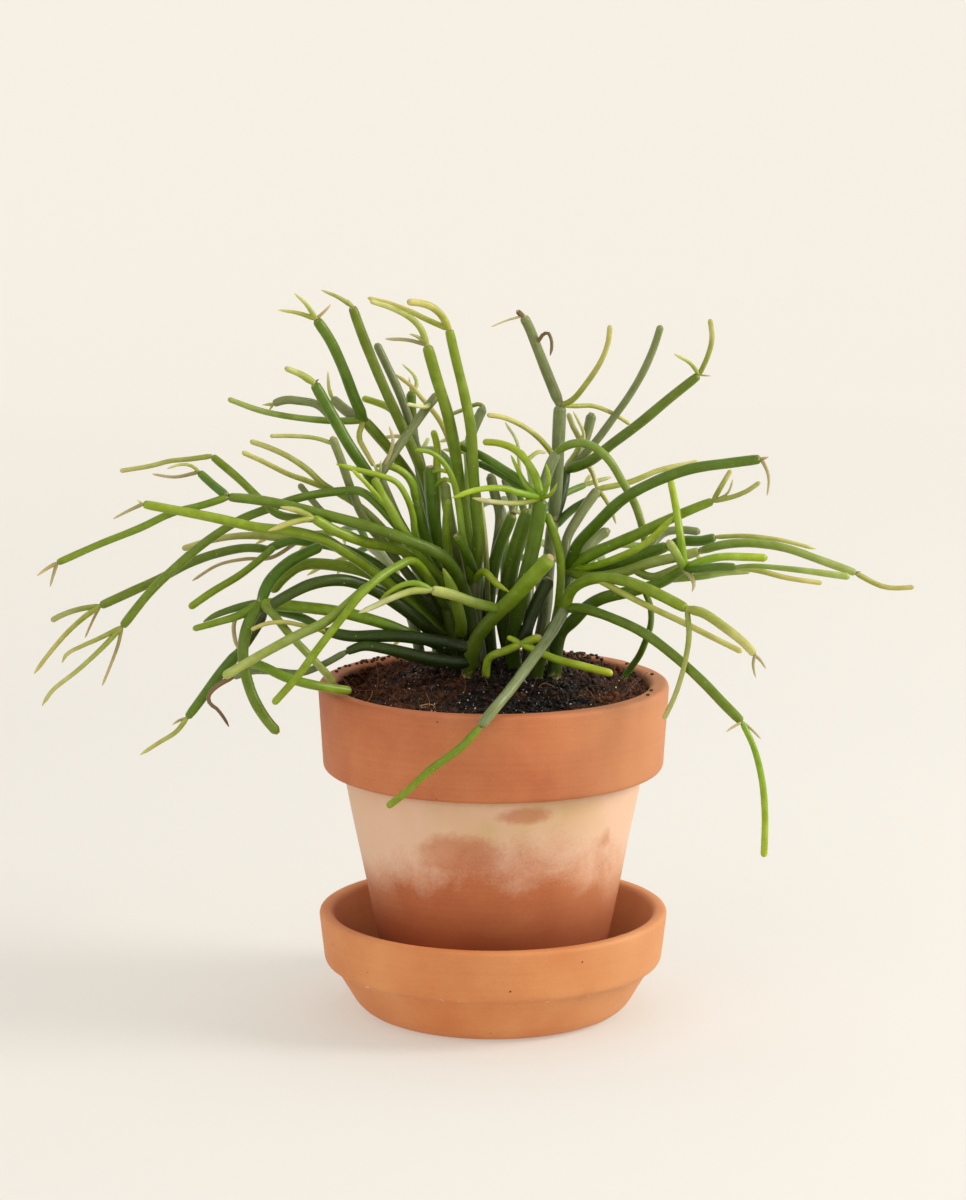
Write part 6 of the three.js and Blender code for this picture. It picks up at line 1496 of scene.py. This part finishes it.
def distance_from_axis(tree, where):
    """How far a place lies from the axis of pot and saucer."""
    flat = add_node(tree, "VectorMath", {0: where, 1: (1.0, 1.0, 0.0)}, operation="MULTIPLY")
    return add_node(tree, "VectorMath", {0: flat}, operation="LENGTH").outputs["Value"]


def terracotta(name, pale, deep, line_mm):
    """Fired low-temperature earthenware, turned on a wheel: open, matt and dusty, with faint rings from the
    turning tool, drifts of lighter and darker clay, grit burnt to dark dots, and a paler right side
    that is painted light where the key lamp falls.
    Returns the material, its tree and shader, Object coordinates and the clay's colour."""
    material, tree, shader = new_material(name, 0.66)
    where = add_node(tree, "TexCoord").outputs["Object"]
    split = add_node(tree, "SeparateXYZ", {"Vector": where}).outputs
    # the turning rings follow height alone, wandering by a little noise
    wander = add_node(tree, "TexNoise", {"Vector": where, "Scale": per_mm(40), "Detail": 2.0})
    level = add_node(tree, "Math", {0: wander, 1: 2.5 * MM, 2: split["Z"]}, operation="MULTIPLY_ADD")
    level = add_node(tree, "CombineXYZ", {"Z": level})
    rings = add_node(tree, "TexNoise", {
        "Vector": level, "Scale": per_mm(line_mm), "Detail": 4.0, "Roughness": 0.6})
    drifts = add_node(tree, "TexNoise", {
        "Vector": where, "Scale": per_mm(28), "Detail": 5.0, "Roughness": 0.55})
    grain = add_node(tree, "TexNoise", {
        "Vector": where, "Scale": per_mm(0.8), "Detail": 4.0, "Roughness": 0.7})
    share = add_node(tree, "Math", {0: rings, 1: 0.28, 2: drifts}, operation="MULTIPLY_ADD")
    share = add_node(tree, "Math", {0: grain, 1: 0.3, 2: share}, operation="MULTIPLY_ADD")
    share = add_node(tree, "MapRange", {"Value": share, "From Min": 0.54, "From Max": 1.04})
    # painted light: the right side, where the key lamp falls, is paler
    side = add_node(tree, "MapRange", {
        "Value": split["X"], "From Min": 14 * MM, "From Max": 50 * MM, "To Min": 0.0, "To Max": 0.4})
    # burnt grit: dots of up to 0.6 mm in radius, in some cells of 6.5 mm
    dots = add_node(tree, "TexVoronoi", {"Vector": where, "Scale": per_mm(6.5)}).outputs
    rare = add_node(tree, "SeparateXYZ", {"Vector": dots["Color"]}).outputs["X"]
    reach = add_node(tree, "MapRange", {
        "Value": rare, "From Min": 0.72, "From Max": 1.0, "To Min": 0.0, "To Max": 0.085})
    burnt = add_node(tree, "Math", {0: dots["Distance"], 1: reach}, operation="LESS_THAN")
    clay = deep
    for amount, over in ((share, pale), (side, "#c79562"), (burnt, "#4a2517")):
        clay = add_node(tree, "Mix", {"Factor": amount, "A": clay, "B": over}, data_type="RGBA")
    height = add_node(tree, "Math", {0: rings, 1: 0.5, 2: grain}, operation="MULTIPLY_ADD")
    bump = add_node(tree, "Bump", {"Strength": 0.35, "Distance": 0.14 * MM, "Height": height})
    fill_sockets(tree, shader, {"Specular IOR Level": 0.62, "Normal": bump})
    return material, tree, shader, where, clay


def bare_patch(tree, where, centre_mm, size_mm, ragged_mm):
    """A soft ragged spot where the lime has come off: 1 at its centre, 0 outside."""
    tear = add_node(tree, "TexNoise", {"Vector": where, "Scale": per_mm(ragged_mm), "Detail": 4.0})
    moved = add_node(tree, "VectorMath", {
        0: where, 1: tuple(c * MM for c in centre_mm)}, operation="SUBTRACT")
    shrunk = add_node(tree, "VectorMath", {
        0: moved, 1: tuple(1 / (c * MM) for c in size_mm)}, operation="MULTIPLY")
    away = add_node(tree, "VectorMath", {0: shrunk}, operation="LENGTH").outputs["Value"]
    away = add_node(tree, "Math", {0: tear, 1: 0.7, 2: away}, operation="MULTIPLY_ADD")
    return add_node(tree, "MapRange", {
        "Value": away, "From Min": 0.95, "From Max": 1.5, "To Min": 1.0, "To Max": 0.0})


def lime_bloom(tree, where, cloud, fine, under_band):
    """How thick the lime lies: sharp under the band, thinning out in clouds towards the foot, more at the
    left and right sides, where the extra whiteness is painted sheen, less in the bare patches, and never
    quite opaque."""
    x, z = (add_node(tree, "SeparateXYZ", {"Vector": where}).outputs[axis] for axis in "XZ")
    height = add_node(tree, "MapRange", {
        "Value": z, "From Min": 50 * MM, "From Max": 87 * MM, "To Min": -0.24, "To Max": 0.54})
    amount = add_node(tree, "Math", {0: cloud, 1: height}, operation="ADD")
    amount = add_node(tree, "Math", {0: fine, 1: 0.34, 2: amount}, operation="MULTIPLY_ADD")
    # painted sheen: the lime grows whiter towards the pot's left and right edges
    edges = add_node(tree, "MapRange", {
        "Value": distance_aside(tree, x, 0), "From Min": 24 * MM, "From Max": 46 * MM, "To Min": 0.0,
        "To Max": 0.16})
    amount = add_node(tree, "Math", {0: amount, 1: edges}, operation="ADD")
    amount = add_node(tree, "MapRange", {"Value": amount, "From Min": 0.5, "From Max": 1.0})
    foot = add_node(tree, "MapRange", {"Value": z, "From Min": 42 * MM, "From Max": 58 * MM})
    bare = [bare_patch(tree, where, *gap) for gap in LIME_GAPS]
    left = [add_node(tree, "Math", {0: spot, 1: -0.6, 2: 1.0}, operation="MULTIPLY_ADD") for spot in bare]
    for mask in (foot, *left, under_band, 0.9):
        amount = add_node(tree, "Math", {0: amount, 1: mask}, operation="MULTIPLY")
    return amount


def lime_colour(tree, where):
    """Lime is cream, and yellower in clouds high up in the middle, where salts came out with it."""
    x, z = (add_node(tree, "SeparateXYZ", {"Vector": where}).outputs[axis] for axis in "XZ")
    yellow = add_node(tree, "TexNoise", {"Vector": where, "Scale": per_mm(34), "Detail": 3.0})
    yellow = add_node(tree, "MapRange", {"Value": yellow, "From Min": 0.34, "From Max": 0.54})
    middle = add_node(tree, "MapRange", {
        "Value": distance_aside(tree, x, 4), "From Min": 12 * MM, "From Max": 42 * MM, "To Min": 1.0,
        "To Max": 0.15})
    high = add_node(tree, "MapRange", {"Value": z, "From Min": 68 * MM, "From Max": 86 * MM})
    for mask in (middle, high):
        yellow = add_node(tree, "Math", {0: yellow, 1: mask}, operation="MULTIPLY")
    return add_node(tree, "Mix", {"Factor": yellow, "A": "#e3bfa4", "B": "#cdac72"}, data_type="RGBA")


def dirt_line(tree, z, fine, under_band):
    """A ragged line of old dirt close under the band."""
    dirt = add_node(tree, "MapRange", {
        "Value": z, "From Min": (POT_BAND_Z - 2.6) * MM, "From Max": (POT_BAND_Z - 0.2) * MM})
    for mask in (fine, under_band):
        dirt = add_node(tree, "Math", {0: dirt, 1: mask}, operation="MULTIPLY")
    return dirt


def rim_smudge(tree, z, cloud):
    """Soil smudged down from the rim."""
    rim = add_node(tree, "MapRange", {"Value": z, "From Min": 108 * MM, "From Max": 124 * MM})
    smudge = add_node(tree, "Math", {0: cloud, 1: rim}, operation="MULTIPLY")
    return add_node(tree, "MapRange", {"Value": smudge, "From Min": 0.3, "From Max": 0.75, "To Max": 0.4})


def inner_wall_darkening(tree, where, z, fine):
    """The inner wall over the soil is darker brown, in patches."""
    inner = add_node(tree, "MapRange", {
        "Value": distance_from_axis(tree, where), "From Min": (POT_MOUTH_RADIUS - 0.4) * MM,
        "From Max": (POT_MOUTH_RADIUS + 0.6) * MM, "To Min": 1.0, "To Max": 0.0})
    high = add_node(tree, "Math", {0: z, 1: (POT_BAND_Z + 5) * MM}, operation="GREATER_THAN")
    patchiness = add_node(tree, "MapRange", {
        "Value": fine, "From Min": 0.4, "From Max": 0.62, "To Min": 0.35, "To Max": 0.95})
    for mask in (high, patchiness):
        inner = add_node(tree, "Math", {0: inner, 1: mask}, operation="MULTIPLY")
    return inner


def pot_terracotta():
    """The pot's clay, with lime and salts that water has drawn out in a cloudy bloom below the band."""
    material, tree, shader, where, clay = terracotta("limed_turned_terracotta", "#c97a47", "#af5a2d", 1.6)
    z = add_node(tree, "SeparateXYZ", {"Vector": where}).outputs["Z"]
    cloud = add_node(tree, "TexNoise", {
        "Vector": where, "Scale": per_mm(26), "Detail": 6.0, "Roughness": 0.6, "Distortion": 0.4})
    fine = add_node(tree, "TexNoise", {
        "Vector": where, "Scale": per_mm(1.1), "Detail": 5.0, "Roughness": 0.75})
    # the clay is darker towards the foot
    foot_darkening = add_node(tree, "MapRange", {
        "Value": z, "From Min": 24 * MM, "From Max": 60 * MM, "To Min": 0.95, "To Max": 0.0})
    under_band = add_node(tree, "Math", {0: z, 1: POT_BAND_Z * MM}, operation="LESS_THAN")
    for amount, over in (
            (foot_darkening, "#8a3f20"),
            (lime_bloom(tree, where, cloud, fine, under_band), lime_colour(tree, where)),
            (dirt_line(tree, z, fine, under_band), "#94683a"),
            (rim_smudge(tree, z, cloud), "#8f5234"),
            (inner_wall_darkening(tree, where, z, fine), "#6e3a20")):
        clay = add_node(tree, "Mix", {"Factor": amount, "A": clay, "B": over}, data_type="RGBA")
    fill_sockets(tree, shader, {"Base Color": clay})
    return material


def saucer_terracotta():
    """The saucer's clay: newer and more orange, a little darker inside as painted shade, and scuffed
    along the edge under the band."""
    material, tree, shader, where, clay = terracotta("turned_orange_terracotta", "#da9359", "#ca753a", 2.2)
    z = add_node(tree, "SeparateXYZ", {"Vector": where}).outputs["Z"]
    # the inside is what lies further in than the middle of the sloping wall
    slope = (SAUCER_NECK_RADIUS - SAUCER_FOOT_RADIUS) / SAUCER_BAND_Z
    wall = add_node(tree, "Math", {
        0: z, 1: slope, 2: (SAUCER_FOOT_RADIUS - 1.5) * MM}, operation="MULTIPLY_ADD")
    wall = add_node(tree, "Math", {
        0: wall, 1: (SAUCER_LIP_RADIUS - SAUCER_LIP_WIDTH + 0.2) * MM}, operation="MINIMUM")
    within = add_node(tree, "Math", {0: wall, 1: distance_from_axis(tree, where)}, operation="SUBTRACT")
    within = add_node(tree, "MapRange", {"Value": within, "From Min": 0.0, "From Max": 0.7 * MM})
    above = add_node(tree, "Math", {0: z, 1: 5 * MM}, operation="GREATER_THAN")
    inside = add_node(tree, "Math", {0: within, 1: above}, operation="MULTIPLY")
    outside = add_node(tree, "Math", {0: 1.0, 1: inside}, operation="SUBTRACT")
    # painted shade: the inside is darkened a little
    painted_inside_shade = add_node(tree, "Math", {0: inside, 1: 0.08}, operation="MULTIPLY")
    edge = add_node(tree, "MapRange", {
        "Value": distance_aside(tree, z, SAUCER_BAND_Z + 0.4), "From Min": 0.3 * MM, "From Max": 1.4 * MM,
        "To Min": 1.0, "To Max": 0.0})
    scuff = add_node(tree, "TexNoise", {
        "Vector": where, "Scale": per_mm(5), "Detail": 5.0, "Roughness": 0.7})
    scuff = add_node(tree, "MapRange", {"Value": scuff, "From Min": 0.58, "From Max": 0.66})
    for mask in (edge, outside):
        scuff = add_node(tree, "Math", {0: scuff, 1: mask}, operation="MULTIPLY")
    for amount, over in ((painted_inside_shade, "#a95b35"), (scuff, "#e9c6a0")):
        clay = add_node(tree, "Mix", {"Factor": amount, "A": clay, "B": over}, data_type="RGBA")
    fill_sockets(tree, shader, {"Base Color": clay})
    return material


# ---- the whole plant

make_camera()
light_studio()
paper_sweep()
saucer_piece()
pot_piece()
soil_piece()
grow_cactus()
